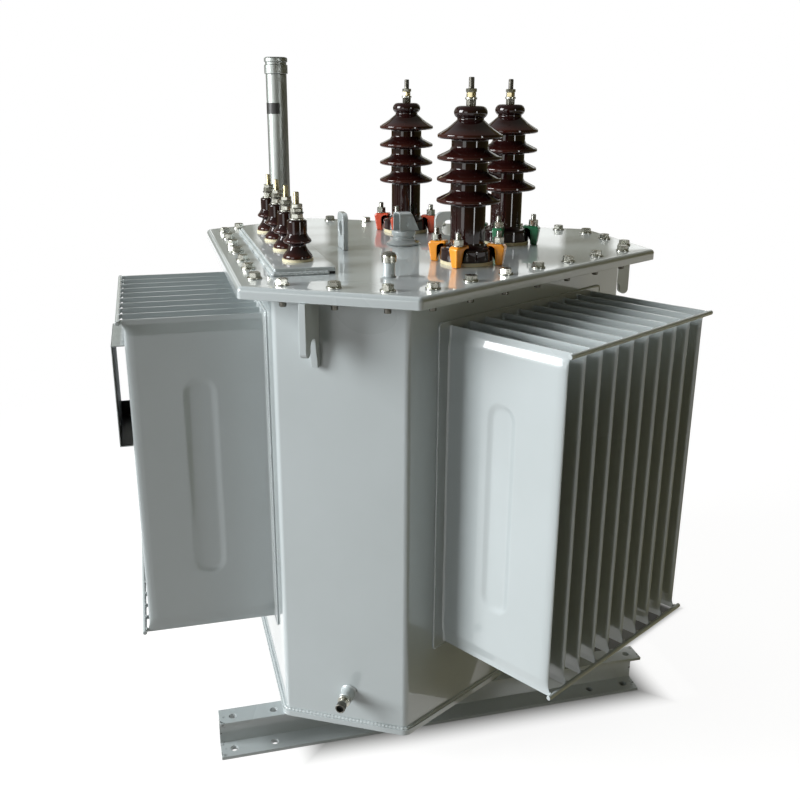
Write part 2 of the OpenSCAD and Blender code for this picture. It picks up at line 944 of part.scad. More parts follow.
// Places its children at each low-voltage bushing from first to last
module lv_row(first, last) {
    for (k = [first:1:last])
        translate([lv_x, (k - (lv_count - 1) / 2) * lv_pitch, lv_seat_z])
            children();
}

// Slab centred under the low-voltage row
module lv_slab(z, h, inset) {
    translate([lv_x - lv_plate_w / 2 + inset, -lv_plate_len / 2 + inset, z])
        cube([lv_plate_w - 2 * inset, lv_plate_len - 2 * inset, h]);
}

module lv_gasket() {
    color("#2B2B2B")
        lv_slab(cover_top, gasket_t, edge_step);
}

module lv_plate() {
    color(paint)
        lv_slab(lv_plate_z, lv_plate_t, 0);
}

module lv_seals() {
    color(cream)
        lv_row(0, lv_count - 1)
            cylinder(d = lv_base_d + 2 * edge_step, h = lv_seal_t);
}

// Half-view of a bell that narrows along a half cosine wave from its base to the waist
module bell() {
    steps = 10;
    drop = (lv_base_d - lv_waist_d) / 4;
    mid = (lv_base_d + lv_waist_d) / 4;
    polygon(concat(
        [[0, 0]],
        [for (k = [0:steps]) [mid + drop * cos(180 * k / steps), k * lv_waist_z / steps]],
        [[0, lv_waist_z]]
    ));
}

// Porcelain of the low-voltage bushing with number k
module lv_insulator(k) {
    color(porcelain)
        lv_row(k, k)
            translate([0, 0, lv_seal_t])
                rotate_extrude() {
                    bell();
                    translate([0, lv_waist_z - cut])
                        square([lv_waist_d / 2, lv_shed_z - lv_waist_z]);
                    shed(lv_shed_z, lv_waist_d, lv_shed_d, lv_rim_t, lv_shed_rise, lv_head_d);
                    round_block(lv_shed_z + lv_shed_rise - cut, lv_head_z, lv_head_d, lv_head_round, false);
                }
}

module lv_insulator_1() {
    lv_insulator(0);
}

module lv_insulator_2() {
    lv_insulator(1);
}

module lv_insulator_3() {
    lv_insulator(2);
}

module lv_insulator_4() {
    lv_insulator(lv_count - 1);
}

module lv_studs() {
    color(zinc)
        lv_row(0, lv_count - 1)
            translate([0, 0, lv_seal_t + lv_head_z])
                terminal(lv_stud_d, lv_nuts_h, lv_stud_free);
}

module gauge_socket() {
    color(paint)
        translate([gauge_x, gauge_y, cover_top])
            difference() {
                cylinder(d = gauge_socket_d, h = gauge_socket_h);
                translate([0, 0, -cut])
                    cylinder(d = gauge_d + 2 * seat_gap, h = gauge_socket_h + 2 * cut);
            }
}

module gauge_tube() {
    color("#A9ACAA")
        translate([gauge_x, gauge_y, cover_top])
            cylinder(d = gauge_d, h = gauge_h - gauge_cap_h);
}

// Half-view of the gauge cap, with a groove between its skirt and its top
module gauge_cap_view() {
    foot = gauge_h - gauge_cap_h;
    round_block(foot, gauge_h, gauge_d, gauge_cap_lip, false);
    for (span = gauge_cap_bands)
        translate([0, foot + span[0] * gauge_cap_h])
            square([gauge_cap_d / 2, (span[1] - span[0]) * gauge_cap_h]);
}

module gauge_cap() {
    color(zinc)
        translate([gauge_x, gauge_y, cover_top])
            rotate_extrude()
                gauge_cap_view();
}

module relief_valve() {
    bead_top = relief_base_h + relief_bead_h;
    bead_d = relief_collar_d - 2 * edge_step;
    bead_r = relief_bead_h / 2 - edge_step;
    collar_z = bead_top + relief_neck_h;
    collar_r = relief_collar_h / 4;
    color(paint)
        translate([relief_x, relief_y, cover_top])
            rotate_extrude() {
                square([relief_d / 2, relief_rim_t]);
                polygon([
                    [0, relief_rim_t], [relief_d / 2 - edge_step, relief_rim_t],
                    [relief_collar_d / 2, relief_base_h], [0, relief_base_h]
                ]);
                square([relief_neck_d / 2, collar_z + cut]);
                round_block(relief_base_h, bead_top, bead_d, bead_r, true);
                round_block(collar_z, collar_z + relief_collar_h, relief_collar_d, collar_r, true);
            }
}

// End view of the hood's arch with its two bends, set in from its outside
module arch_view(inset) {
    half = relief_hood_t / 2 - inset;
    top = relief_hood_h - inset;
    r = relief_hood_bend - inset;
    translate([-half, -inset])
        square([2 * half, top + inset - r]);
    translate([r - half, -inset])
        square([2 * (half - r), top + inset]);
    for (x = [r - half, half - r])
        translate([x, top - r])
            circle(r);
}

// Saddle of bent sheet with one upright edge and one sloping edge, open at both sides
module relief_cap() {
    foot = relief_base_h + relief_bead_h + relief_neck_h + relief_collar_h;
    wide = 2 * relief_hood_right;
    color(paint)
        translate([relief_x, relief_y, cover_top + foot])
            rotate(relief_hood_turn)
                difference() {
                    intersection() {
                        rotate([90, 0, 90])
                            linear_extrude(wide, center = true)
                                arch_view(0);
                        rotate([90, 0, 0])
                            linear_extrude(2 * relief_hood_t, center = true)
                                polygon([
                                    [-relief_hood_left, 0], [relief_hood_right, 0],
                                    [relief_hood_top, relief_hood_h], [-relief_hood_left, relief_hood_h]
                                ]);
                    }
                    rotate([90, 0, 90])
                        linear_extrude(wide + 2 * cut, center = true)
                            arch_view(relief_sheet_t);
                    translate([0, 0, relief_hood_h / 3])
                        rotate([90, 0, 0])
                            cylinder(d = relief_hole_d, h = 2 * relief_hood_t, center = true);
                }
}

module filler_neck() {
    color(paint)
        translate([filler_x, filler_y, cover_top])
            cylinder(d = filler_d, h = filler_h);
}

module filler_cap() {
    color(zinc)
        translate([filler_x, filler_y, cover_top + filler_h])
            rotate_extrude()
                round_block(0, filler_cap_h, filler_cap_d, filler_cap_d / 4, false);
}

// Upright lug with round top corners and a hole
module lug() {
    half = lug_w / 2;
    rotate([90, 0, 90])
        linear_extrude(lug_t, center = true)
            difference() {
                union() {
                    translate([-half, 0])
                        square([lug_w, lug_h - lug_round]);
                    translate([lug_round - half, 0])
                        square([lug_w - 2 * lug_round, lug_h]);
                    for (x = [lug_round - half, half - lug_round])
                        translate([x, lug_h - lug_round])
                            circle(lug_round);
                }
                translate([0, lug_h - lug_hole_drop])
                    circle(d = lug_hole_d);
            }
}

module cover_lugs() {
    color(paint) {
        translate([-lug_left, 0, cover_top])
            lug();
        translate([lug_right_x, -lug_right_y, cover_top])
            rotate(90)
                lug();
    }
}

// Side view of a tank hook, foot at the wall
module hook_view() {
    full = hook_root + notch_w + finger_w;
    arch_z = notch_h - notch_w / 2;
    tip = finger_w / 2;
    difference() {
        square([full, hook_h]);
        polygon([
            [hook_foot, -cut], [hook_root, arch_z], [hook_root + notch_w, arch_z],
            [hook_root + notch_w, finger_z + tip], [full + cut, finger_z + tip], [full + cut, -cut]
        ]);
        translate([hook_root + notch_w / 2, arch_z])
            circle(d = notch_w);
    }
    translate([full - tip, finger_z + tip])
        circle(tip);
}

module tank_hooks() {
    color(paint)
        for (i = [0, 2, 4])
            on_face(i)
                translate([reach(i), hook_shift, skirt_foot - seat_gap - hook_h])
                    rotate([90, 0, 0])
                        linear_extrude(hook_t, center = true)
                            hook_view();
}

// Sheet folded to a shallow tray in front of the left fins, with a far leg
module nameplate_bracket() {
    far = reach(3, fin_depth + seat_gap);
    near_edge = fin_span / 2;
    color(paint)
        on_face(3)
            translate([far, near_edge - bracket_w, fin_top - bracket_drop - bracket_h]) {
                translate([bracket_stand - bracket_t, 0, 0])
                    cube([bracket_t, bracket_w, bracket_h]);
                for (z = [0, bracket_h - bracket_t])
                    translate([0, 0, z])
                        cube([bracket_stand, bracket_w, bracket_t]);
                cube([bracket_stand, bracket_t, bracket_leg_h]);
            }
}

// Places its children at the drain, with Z pointing out of the front wall
module at_drain(out) {
    on_face(4)
        translate([reach(4, out), drain_shift, bottom_top + drain_z])
            rotate([0, 90, 0])
                children();
}

module drain_boss() {
    color(paint)
        at_drain(0)
            cylinder(d = drain_boss_d, h = drain_boss_len);
}

module drain_nozzle() {
    plug_z = drain_collar_len + drain_nozzle_len;
    color(zinc)
        at_drain(drain_boss_len) {
            cylinder(d = drain_collar_d, h = drain_collar_len);
            cylinder(d = drain_nozzle_d, h = plug_z);
            translate([0, 0, plug_z])
                cylinder(d = drain_plug_d, h = drain_plug_len);
        }
}

rail_front();
rail_back_side();
bottom_plate();
front_wall();
right_wall();
back_wall();
left_wall_strips();
front_wall_strips();
back_wall_strips();
left_fin_bank();
front_fin_bank();
back_fin_bank();
left_tie_rods();
front_tie_rods();
back_tie_rods();
tank_flange();
cover_gasket();
cover();
cover_bolts();
hv_seals();
hv_insulator_front();
hv_insulator_right();
hv_insulator_back();
hv_studs();
hv_clamps_front();
hv_clamps_right();
hv_clamps_back();
clamp_bolts();
lv_gasket();
lv_plate();
lv_seals();
lv_insulator_1();
lv_insulator_2();
lv_insulator_3();
lv_insulator_4();
lv_studs();
gauge_socket();
gauge_tube();
gauge_cap();
relief_valve();
relief_cap();
filler_neck();
filler_cap();
cover_lugs();
tank_hooks();
nameplate_bracket();
drain_boss();
drain_nozzle();
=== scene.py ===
# %% [markdown]
# # An oil-filled power transformer
# The transformer is a six-sided steel tank on two channel rails. Banks of pressed fins cool its oil, and
# porcelain bushings carry the wires through the bolted cover. The solids from the CAD model are loaded first and
# never move. Each later cell makes one kind of piece over them, or gives a solid its finish.

# %% Load the solids
import json
import math

import bmesh
import bpy
import numpy as np
from mathutils import Matrix, Vector


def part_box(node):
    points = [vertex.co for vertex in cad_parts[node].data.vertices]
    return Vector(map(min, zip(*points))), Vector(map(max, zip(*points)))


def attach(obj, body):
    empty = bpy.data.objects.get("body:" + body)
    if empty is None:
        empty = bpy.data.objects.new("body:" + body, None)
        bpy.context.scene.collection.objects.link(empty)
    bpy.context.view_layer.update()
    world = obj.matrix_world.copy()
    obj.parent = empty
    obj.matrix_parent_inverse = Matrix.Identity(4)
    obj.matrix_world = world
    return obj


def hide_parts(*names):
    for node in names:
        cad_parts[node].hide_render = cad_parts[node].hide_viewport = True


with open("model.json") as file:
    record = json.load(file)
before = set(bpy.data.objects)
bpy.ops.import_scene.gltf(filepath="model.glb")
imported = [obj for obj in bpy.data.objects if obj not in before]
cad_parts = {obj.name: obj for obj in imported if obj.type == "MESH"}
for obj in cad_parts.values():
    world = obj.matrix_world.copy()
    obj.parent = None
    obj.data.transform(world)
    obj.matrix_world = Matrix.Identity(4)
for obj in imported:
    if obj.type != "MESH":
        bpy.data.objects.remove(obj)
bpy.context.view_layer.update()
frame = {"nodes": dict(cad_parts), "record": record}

# %% [markdown]
# ## Camera
# A camera at chest height looks down a little on the cover. Its place and its turn were found by fitting a
# perspective to corners, bolts and fins, so its three axes are worked out from those angles and not by hand.

# %% Camera
CAMERA_PLACE = np.array([-0.49604, -1.80025, 1.19572])
YAW, PITCH, ROLL = 74.83, -18.2, 0.33
FOCAL_MM, SENSOR_MM = 42.18, 36.0


def camera_axes(yaw, pitch, roll):
    """Forward comes from yaw and pitch, right is level, up is square to both; roll then turns right and up."""
    yaw, pitch, roll = np.radians([yaw, pitch, roll])
    forward = np.array([np.cos(yaw) * np.cos(pitch), np.sin(yaw) * np.cos(pitch), np.sin(pitch)])
    right = np.array([np.sin(yaw), -np.cos(yaw), 0.0])
    up = np.cross(right, forward)
    return np.cos(roll) * right + np.sin(roll) * up, np.cos(roll) * up - np.sin(roll) * right, forward


scene = bpy.context.scene
right, up, forward = camera_axes(YAW, PITCH, ROLL)
lens = bpy.data.cameras.new("camera")
lens.lens = FOCAL_MM
lens.sensor_width = SENSOR_MM
camera = bpy.data.objects.new("camera", lens)
axes = np.column_stack([right, up, -forward, CAMERA_PLACE])
camera.matrix_world = Matrix(np.vstack([axes, [0, 0, 0, 1]]).tolist())
scene.collection.objects.link(camera)
scene.camera = camera
scene.view_settings.view_transform = "Standard"
print("camera looks along", np.round(forward, 3))

# %% [markdown]
# ## One helper for all node trees
# Every finish below is a small graph of nodes. One function adds a node, sets its properties and fills its sockets
# with a number, a colour or another node. Colours are written as sRGB hex and turned to linear light.

# %% Node helper and colours
def colour(code):
    """sRGB to linear light: v / 12.92 near black, otherwise ((v + 0.055) / 1.055) to the power 2.4."""
    v = np.array([int(code[i:i + 2], 16) for i in (1, 3, 5)]) / 255
    return (*np.where(v <= 0.04045, v / 12.92, ((v + 0.055) / 1.055) ** 2.4).tolist(), 1.0)


def add_node(tree, kind, sockets=None, **settings):
    """Adds a node: settings are its properties, and sockets fills its inputs with values, with outputs or with whole
    nodes, each of which stands for its first output in use."""
    made = tree.nodes.new("ShaderNode" + kind)
    for key, value in settings.items():
        setattr(made, key, value)
    for key, value in (sockets or {}).items():
        if isinstance(value, bpy.types.Node):
            value = next(output for output in value.outputs if output.enabled)
        if isinstance(value, bpy.types.NodeSocket):
            tree.links.new(value, made.inputs[key])
        else:
            made.inputs[key].default_value = value
    return made


print("paint grey in linear light:", np.round(colour("#B4BBBC"), 3))

# %% [markdown]
# ## Studio
# A big soft lamp stands to the left, so the walls that face left are bright and those that face right are dark. Weak
# lamps fill the front and the top, and a warm one at the right stands for a tan card. The room is pale to the left,
# overhead and behind the object, and dim and warm elsewhere. Camera rays see plain white instead.

# %% Lamps and room
COOL_WHITE = "#FAFDFF"
ROOM_LEVEL, ROOM_GLOSS_LEVEL = 0.14, 0.4


def softbox(name, place, target, size, watts, code, mirrored=True):
    """Area lamp at a place, turned so that its face points at the target; mirrored lets gloss show it."""
    lamp = bpy.data.lights.new(name, "AREA")
    lamp.shape = "RECTANGLE"
    lamp.size, lamp.size_y = size
    lamp.energy = watts
    lamp.color = colour(code)[:3]
    made = bpy.data.objects.new(name, lamp)
    made.location = place
    made.rotation_euler = (Vector(target) - Vector(place)).to_track_quat("-Z", "Y").to_euler()
    made.visible_camera = False
    made.visible_glossy = mirrored
    scene.collection.objects.link(made)


softbox("left_softbox", (-6.0, 0.1, 2.7), (0, 0, 0.65), (3.0, 3.6), 665, COOL_WHITE)
softbox("front_left_softbox", (-2.45, -2.05, 1.2), (0, 0, 0.6), (1.2, 1.4), 12, COOL_WHITE)
softbox("overhead_softbox", (0.3, 1.4, 3.2), (0.2, 0, 0.9), (2.0, 1.6), 60, "#FFFFFF", False)
softbox("right_warm_card", (2.9, -1.9, 0.8), (0.3, -0.3, 0.5), (1.8, 1.4), 17, "#CDC09A", False)

world = bpy.data.worlds.new("studio")
scene.world = world
world.use_nodes = True
room = world.node_tree
room.nodes.clear()
rays = add_node(room, "LightPath").outputs
gaze = add_node(room, "TexCoord").outputs["Generated"]
way = add_node(room, "SeparateXYZ", {0: gaze}).outputs
leftward = add_node(room, "VectorMath", {0: gaze, 1: (-0.9, 0.43, 0.0)}, operation="DOT_PRODUCT")
share = {name: add_node(room, "MapRange", {"Value": value, "From Min": low, "From Max": high, "To Max": top},
                        interpolation_type="SMOOTHSTEP")
         for name, value, low, high, top in (
             ("left", leftward, 0.0, 0.9, 1.0), ("back", way["Y"], 0.15, 0.7, 1.0),
             ("not right", way["X"], 0.75, 0.1, 1.0), ("top", way["Z"], 0.3, 0.95, 0.3))}
pale = add_node(room, "Math", {0: share["back"], 1: share["not right"]}, operation="MULTIPLY")
for name in ("left", "top"):
    pale = add_node(room, "Math", {0: pale, 1: share[name]}, operation="MAXIMUM")
tone = add_node(room, "Mix", {0: pale, 6: colour("#7C775E"), 7: colour("#F6FBFC")}, data_type="RGBA")
level = add_node(room, "MapRange", {"Value": rays["Is Glossy Ray"], "To Min": ROOM_LEVEL,
                                    "To Max": ROOM_GLOSS_LEVEL})
gradient = add_node(room, "Background", {"Color": tone, "Strength": level})
white = add_node(room, "Background", {"Color": (1, 1, 1, 1), "Strength": 1.0})
seen = add_node(room, "Math", {0: rays["Is Camera Ray"], 1: rays["Is Transmission Ray"]}, operation="MAXIMUM")
add_node(room, "OutputWorld", {0: add_node(room, "MixShader", {0: seen, 1: gradient, 2: white})})

# %% [markdown]
# The floor is pale paper. Under the rails and the front fins it only takes light, so the object's shadow is dark
# there. Further out it glows for the camera and for gloss, and fades into the white of the background.

# %% Floor
FLOOR_HALF, FADE_START, FADE_END = 9.0, 0.7, 2.3
FLOOR_GLOW, EDGE_START, EDGE_END = 0.92, -0.03, 0.06


def new_material(name):
    """Empty material with a node tree."""
    made = bpy.data.materials.new(name)
    made.use_nodes = True
    made.node_tree.nodes.clear()
    return made, made.node_tree


paper, tree = new_material("white_background_paper")
at = add_node(tree, "TexCoord").outputs["Object"]
rays = add_node(tree, "LightPath").outputs
seen = rays["Is Camera Ray"]
for ray in ("Is Glossy Ray", "Is Transmission Ray"):
    seen = add_node(tree, "Math", {0: seen, 1: rays[ray]}, operation="MAXIMUM")


def past_edges(*edges):
    """Greatest of the distances past some edges on the floor: each is a way out, a distance and a slope."""
    most = None
    for way, edge, slope in edges:
        past = add_node(tree, "VectorMath", {0: at, 1: (*way, 0.0)}, operation="DOT_PRODUCT")
        past = add_node(tree, "Math", {0: past, 1: slope, 2: -edge * slope}, operation="MULTIPLY_ADD")
        most = past if most is None else add_node(tree, "Math", {0: most, 1: past}, operation="MAXIMUM")
    return most


past_rails = past_edges(((0, -1), 0.31, 1), ((0, 1), 0.05, 0.3), ((-1, 0), 0.24, 1), ((1, 0), 0.44, 1))
past_bank = past_edges(((0.5, -0.866), 0.368, 3), ((0.866, 0.5), 0.575, 2), ((-0.5, 0.866), 0.0, 0.3),
                       ((-0.866, -0.5), -0.25, 1))
past_both = add_node(tree, "Math", {0: past_rails, 1: past_bank}, operation="MINIMUM")
open_floor = add_node(tree, "MapRange", {"Value": past_both, "From Min": EDGE_START, "From Max": EDGE_END,
                                         "To Max": FLOOR_GLOW}, interpolation_type="SMOOTHSTEP")
shine = add_node(tree, "Math", {0: open_floor, 1: seen}, operation="MULTIPLY")
near = add_node(tree, "Emission", {"Color": (1, 1, 1, 1), "Strength": shine})
lit = add_node(tree, "AddShader", {0: add_node(tree, "BsdfDiffuse", {"Color": colour("#747471")}), 1: near})
fade = add_node(tree, "MapRange", {"Value": add_node(tree, "VectorMath", {0: at}, operation="LENGTH"),
                                   "From Min": FADE_START, "From Max": FADE_END}, interpolation_type="SMOOTHSTEP")
glow = add_node(tree, "Emission", {"Color": (1, 1, 1, 1), "Strength": seen})
add_node(tree, "OutputMaterial", {"Surface": add_node(tree, "MixShader", {0: fade, 1: lit, 2: glow})})


def stage_sheet(name, points, faces, material):
    """Mesh that belongs to the studio and not to the object."""
    mesh = bpy.data.meshes.new(name)
    mesh.from_pydata(points, [], faces)
    mesh.materials.append(material)
    made = bpy.data.objects.new(name, mesh)
    scene.collection.objects.link(made)
    return made


corners = [(x * FLOOR_HALF, y * FLOOR_HALF, 0) for x, y in ((-1, -1), (1, -1), (1, 1), (-1, 1))]
stage_sheet("floor", corners, [(0, 1, 2, 3)], paper)
print("floor is", 2 * FLOOR_HALF, "m wide")

# %% [markdown]
# Gloss shows what stands round it. A round wall of dim tan cloth with tall bright panes behind, and one narrow
# bright strip in front, gives the glaze and the enamel dark tones with crisp lights. A tan card lies on the floor at
# the right and tints the shaded sides. The camera sees neither of them, and neither throws a shadow.

# %% Wall and card
WALL_RADIUS, WALL_HEIGHT, WALL_SIDES = 7.0, 5.6, 96
PANE_WAVE, BAR_WAVE = 40.0, 11.4
STRIP_POWER, LEFT_POWER = 10.0, 0.3
CARD_LIFT = 0.004


def band(tree, value, middle, half, soft):
    """1 inside middle plus or minus half, easing to 0 over soft."""
    away = add_node(tree, "Math", {0: value, 1: middle}, operation="SUBTRACT")
    away = add_node(tree, "Math", {0: away}, operation="ABSOLUTE")
    return add_node(tree, "MapRange", {"Value": away, "From Min": half + soft, "From Max": half},
                    interpolation_type="SMOOTHSTEP")


def wave(tree, value, times, low, high, least=0.0):
    """Stripes: the sine of value times a number, cut from least to 1 between a low and a high level."""
    crest = add_node(tree, "Math", {0: value, 1: times}, operation="MULTIPLY")
    crest = add_node(tree, "Math", {0: crest}, operation="SINE")
    return add_node(tree, "MapRange", {"Value": crest, "From Min": low, "From Max": high, "To Min": least})


cloth, tree = new_material("tan_cloth_with_bright_panes")
at = add_node(tree, "SeparateXYZ", {0: add_node(tree, "TexCoord").outputs["Object"]}).outputs
turn = add_node(tree, "Math", {0: at["Y"], 1: at["X"]}, operation="ARCTAN2")
side = add_node(tree, "MapRange", {"Value": turn, "From Min": 1.7, "From Max": 1.0, "To Min": 0.8, "To Max": 1.25})
panes = wave(tree, turn, PANE_WAVE, -0.5, -0.1)
for factor in (wave(tree, at["Z"], BAR_WAVE, -0.7, -0.3, 0.3), side, band(tree, turn, 1.55, 0.95, 0.05),
               band(tree, at["Z"], 2.98, 1.42, 0.16)):
    panes = add_node(tree, "Math", {0: panes, 1: factor}, operation="MULTIPLY")
strip = add_node(tree, "Math", {0: band(tree, turn, -1.17, 0.045, 0.01), 1: band(tree, at["Z"], 1.7, 1.7, 0.16)},
                 operation="MULTIPLY")
left = band(tree, add_node(tree, "Math", {0: turn}, operation="ABSOLUTE"), 3.14, 0.5, 0.5)
power = add_node(tree, "Math", {0: strip, 1: STRIP_POWER, 2: panes}, operation="MULTIPLY_ADD")
power = add_node(tree, "Math", {0: left, 1: LEFT_POWER, 2: power}, operation="MULTIPLY_ADD")
lights = add_node(tree, "Emission", {"Color": colour(COOL_WHITE), "Strength": power})
dim = add_node(tree, "Emission", {"Color": colour("#5B5638"), "Strength": 1.0})
add_node(tree, "OutputMaterial", {"Surface": add_node(tree, "AddShader", {0: lights, 1: dim})})
each = np.arange(WALL_SIDES)
ring = 2 * np.pi * each / WALL_SIDES
foot = np.stack([WALL_RADIUS * np.cos(ring), WALL_RADIUS * np.sin(ring), 0 * ring], -1)
beside = (each + 1) % WALL_SIDES
wall = stage_sheet("studio_wall", np.concatenate([foot, foot + np.array([0, 0, WALL_HEIGHT])]),
                   np.stack([each, beside, WALL_SIDES + beside, WALL_SIDES + each], -1).tolist(), cloth)
tan, tree = new_material("tan_card")
add_node(tree, "OutputMaterial", {"Surface": add_node(tree, "BsdfPrincipled", {
    "Base Color": colour("#9F9775"), "Roughness": 0.9})})
card_plan = [(0.12, -3.2), (3.6, -3.2), (3.6, 1.4), (0.55, 1.4), (0.55, -0.35), (0.12, -0.35)]
card = stage_sheet("tan_floor_card", [(x, y, CARD_LIFT) for x, y in card_plan], [(0, 1, 2, 3, 4, 5)], tan)
for sheet in (wall, card):
    sheet.visible_camera = sheet.visible_shadow = sheet.visible_transmission = False
wall.visible_diffuse = False

# %% [markdown]
# ## Grey enamel
# The tank, fins and cover are sprayed with gloss enamel. It gives clear but soft reflections, a fine orange peel and
# slow changes of tone where the coat is thicker. Solids from the CAD model have sharp edges, so their version
# also rounds the shading at edges; the made pieces have real rounded edges and don't need it.

# %% Enamel
def enamel(name, thick, thin, rough, peel, edge=0.0, chipped=0.0):
    """Sprayed enamel: two near tones mixed by clouds 160 mm wide, roughness that drifts over 300 mm, an orange peel
    3 mm wide, drawn coarser than the real 1 mm so that it shows, and sheet waves 200 mm wide. edge rounds a solid's
    corners. chipped is the distance along the rails past which chips 9 mm wide show bare dark steel."""
    made, tree = new_material(name)
    at = add_node(tree, "TexCoord").outputs["Object"]
    cloud = add_node(tree, "TexNoise", {"Vector": at, "Scale": 1 / 0.16, "Detail": 4.0, "Roughness": 0.6})
    tone = add_node(tree, "Mix", {0: cloud, 6: colour(thick), 7: colour(thin)}, data_type="RGBA")
    if chipped:
        along = add_node(tree, "Math", {0: add_node(tree, "SeparateXYZ", {0: at}).outputs["X"]}, operation="ABSOLUTE")
        end = add_node(tree, "MapRange", {"Value": along, "From Min": chipped, "From Max": chipped + 0.012})
        flake = add_node(tree, "TexNoise", {"Vector": at, "Scale": 1 / 0.009, "Detail": 3.0})
        bare = add_node(tree, "MapRange", {"Value": flake, "From Min": 0.56, "From Max": 0.6})
        bare = add_node(tree, "Math", {0: bare, 1: end}, operation="MULTIPLY")
        tone = add_node(tree, "Mix", {0: bare, 6: tone, 7: colour("#2B2924")}, data_type="RGBA")
    smear = add_node(tree, "TexNoise", {"Vector": at, "Scale": 1 / 0.3, "Detail": 1.0})
    gloss = add_node(tree, "MapRange", {"Value": smear, "To Min": rough - 0.08, "To Max": rough + 0.08})
    wave = add_node(tree, "TexNoise", {"Vector": at, "Scale": 1 / 0.2, "Detail": 1.0})
    grain = add_node(tree, "TexNoise", {"Vector": at, "Scale": 1 / 0.003, "Detail": 2.0})
    lean = {"Normal": add_node(tree, "Bevel", {"Radius": edge}, samples=4)} if edge else {}
    soft = add_node(tree, "Bump", {"Height": wave, "Strength": 0.3, "Distance": 0.004, **lean})
    fine = add_node(tree, "Bump", {"Height": grain, "Strength": peel, "Distance": 0.0004,
                                   "Normal": soft})
    shader = add_node(tree, "BsdfPrincipled", {
        "Base Color": tone, "Roughness": gloss, "Normal": fine,
        "Coat Weight": 1.0, "Coat Roughness": 0.03})
    add_node(tree, "OutputMaterial", {"Surface": shader})
    return made


GREY_COAT = ("#B0B7B7", "#B9C0C1", 0.3, 0.08)
SOLID_EDGE, CHIPS_FROM = 0.0012, 0.42
GREY = enamel("grey_gloss_enamel", *GREY_COAT)
GREY_SOLID = enamel("grey_gloss_enamel_on_solids", *GREY_COAT, SOLID_EDGE)
GREY_RAILS = enamel("grey_gloss_enamel_chipped", *GREY_COAT, SOLID_EDGE, CHIPS_FROM)
CLAMP_PAINT = {
    "front": enamel("yellow_brushed_enamel", "#EE8E0C", "#F5A016", 0.32, 0.2),
    "right": enamel("green_brushed_enamel", "#1B6440", "#257A50", 0.32, 0.2),
    "back": enamel("red_brushed_enamel", "#C03C18", "#CF4C22", 0.32, 0.2)}
print("enamels:", [m.name for m in bpy.data.materials if "enamel" in m.name])

# %% [markdown]
# ## Porcelain, metal and rubber
# Bushings are dark brown glazed porcelain: a mirror-like coat, nearly black, that turns reddish where the glaze runs
# thin at the rims. Bolts are zinc plated, with a slightly cloudy bright surface. Some terminal nuts are brass. The
# gauge is satin aluminium, drawn lengthwise. Seals are pale rubber, and gaskets are dark.

# %% Other finishes
def metal(name, bright, dull, rough, cloud_mm, stretch=(1, 1, 1)):
    """Plated or drawn metal: bright and dull tones mixed by clouds of cloud_mm, stretched along the drawing."""
    made, tree = new_material(name)
    at = add_node(tree, "Mapping", {"Vector": add_node(tree, "TexCoord").outputs["Object"], "Scale": stretch})
    cloud = add_node(tree, "TexNoise", {"Vector": at, "Scale": 1000 / cloud_mm, "Detail": 4.0})
    tone = add_node(tree, "Mix", {0: cloud, 6: colour(bright), 7: colour(dull)}, data_type="RGBA")
    gloss = add_node(tree, "MapRange", {"Value": cloud, "From Min": 0.3, "From Max": 0.7,
                                        "To Min": rough - 0.06, "To Max": rough + 0.08})
    scuff = add_node(tree, "Bump", {"Height": cloud, "Strength": 0.12, "Distance": 0.0003})
    shader = add_node(tree, "BsdfPrincipled", {
        "Base Color": tone, "Metallic": 1.0, "Roughness": gloss, "Normal": scuff})
    add_node(tree, "OutputMaterial", {"Surface": shader})
    return made


def rubber(name, light, dark, rough, grain_mm):
    """Moulded rubber or plastic: two near tones and a fine dull grain."""
    made, tree = new_material(name)
    at = add_node(tree, "TexCoord").outputs["Object"]
    grain = add_node(tree, "TexNoise", {"Vector": at, "Scale": 1000 / grain_mm, "Detail": 3.0})
    tone = add_node(tree, "Mix", {0: grain, 6: colour(dark), 7: colour(light)}, data_type="RGBA")
    bump = add_node(tree, "Bump", {"Height": grain, "Strength": 0.2, "Distance": 0.0003})
    shader = add_node(tree, "BsdfPrincipled", {"Base Color": tone, "Roughness": rough,
                                               "Normal": bump})
    add_node(tree, "OutputMaterial", {"Surface": shader})
    return made


def glazed_porcelain():
    """Dark glaze with brown clouds 40 mm wide; the attribute glaze_thin mixes in the redder tone of the rims."""
    made, tree = new_material("brown_glazed_porcelain")
    at = add_node(tree, "TexCoord").outputs["Object"]
    cloud = add_node(tree, "TexNoise", {"Vector": at, "Scale": 1 / 0.04, "Detail": 3.0})
    body = add_node(tree, "Mix", {0: cloud, 6: colour("#1A0908"), 7: colour("#270F0E")}, data_type="RGBA")
    thin = add_node(tree, "Attribute", attribute_name="glaze_thin")
    tone = add_node(tree, "Mix", {0: thin.outputs["Fac"], 6: body, 7: colour("#34140F")}, data_type="RGBA")
    ripple = add_node(tree, "TexNoise", {"Vector": at, "Scale": 1 / 0.012, "Detail": 1.0})
    bump = add_node(tree, "Bump", {"Height": ripple, "Strength": 0.06, "Distance": 0.0006})
    shader = add_node(tree, "BsdfPrincipled", {
        "Base Color": tone, "Roughness": 0.04, "Specular IOR Level": 0.5, "Normal": bump})
    add_node(tree, "OutputMaterial", {"Surface": shader})
    return made


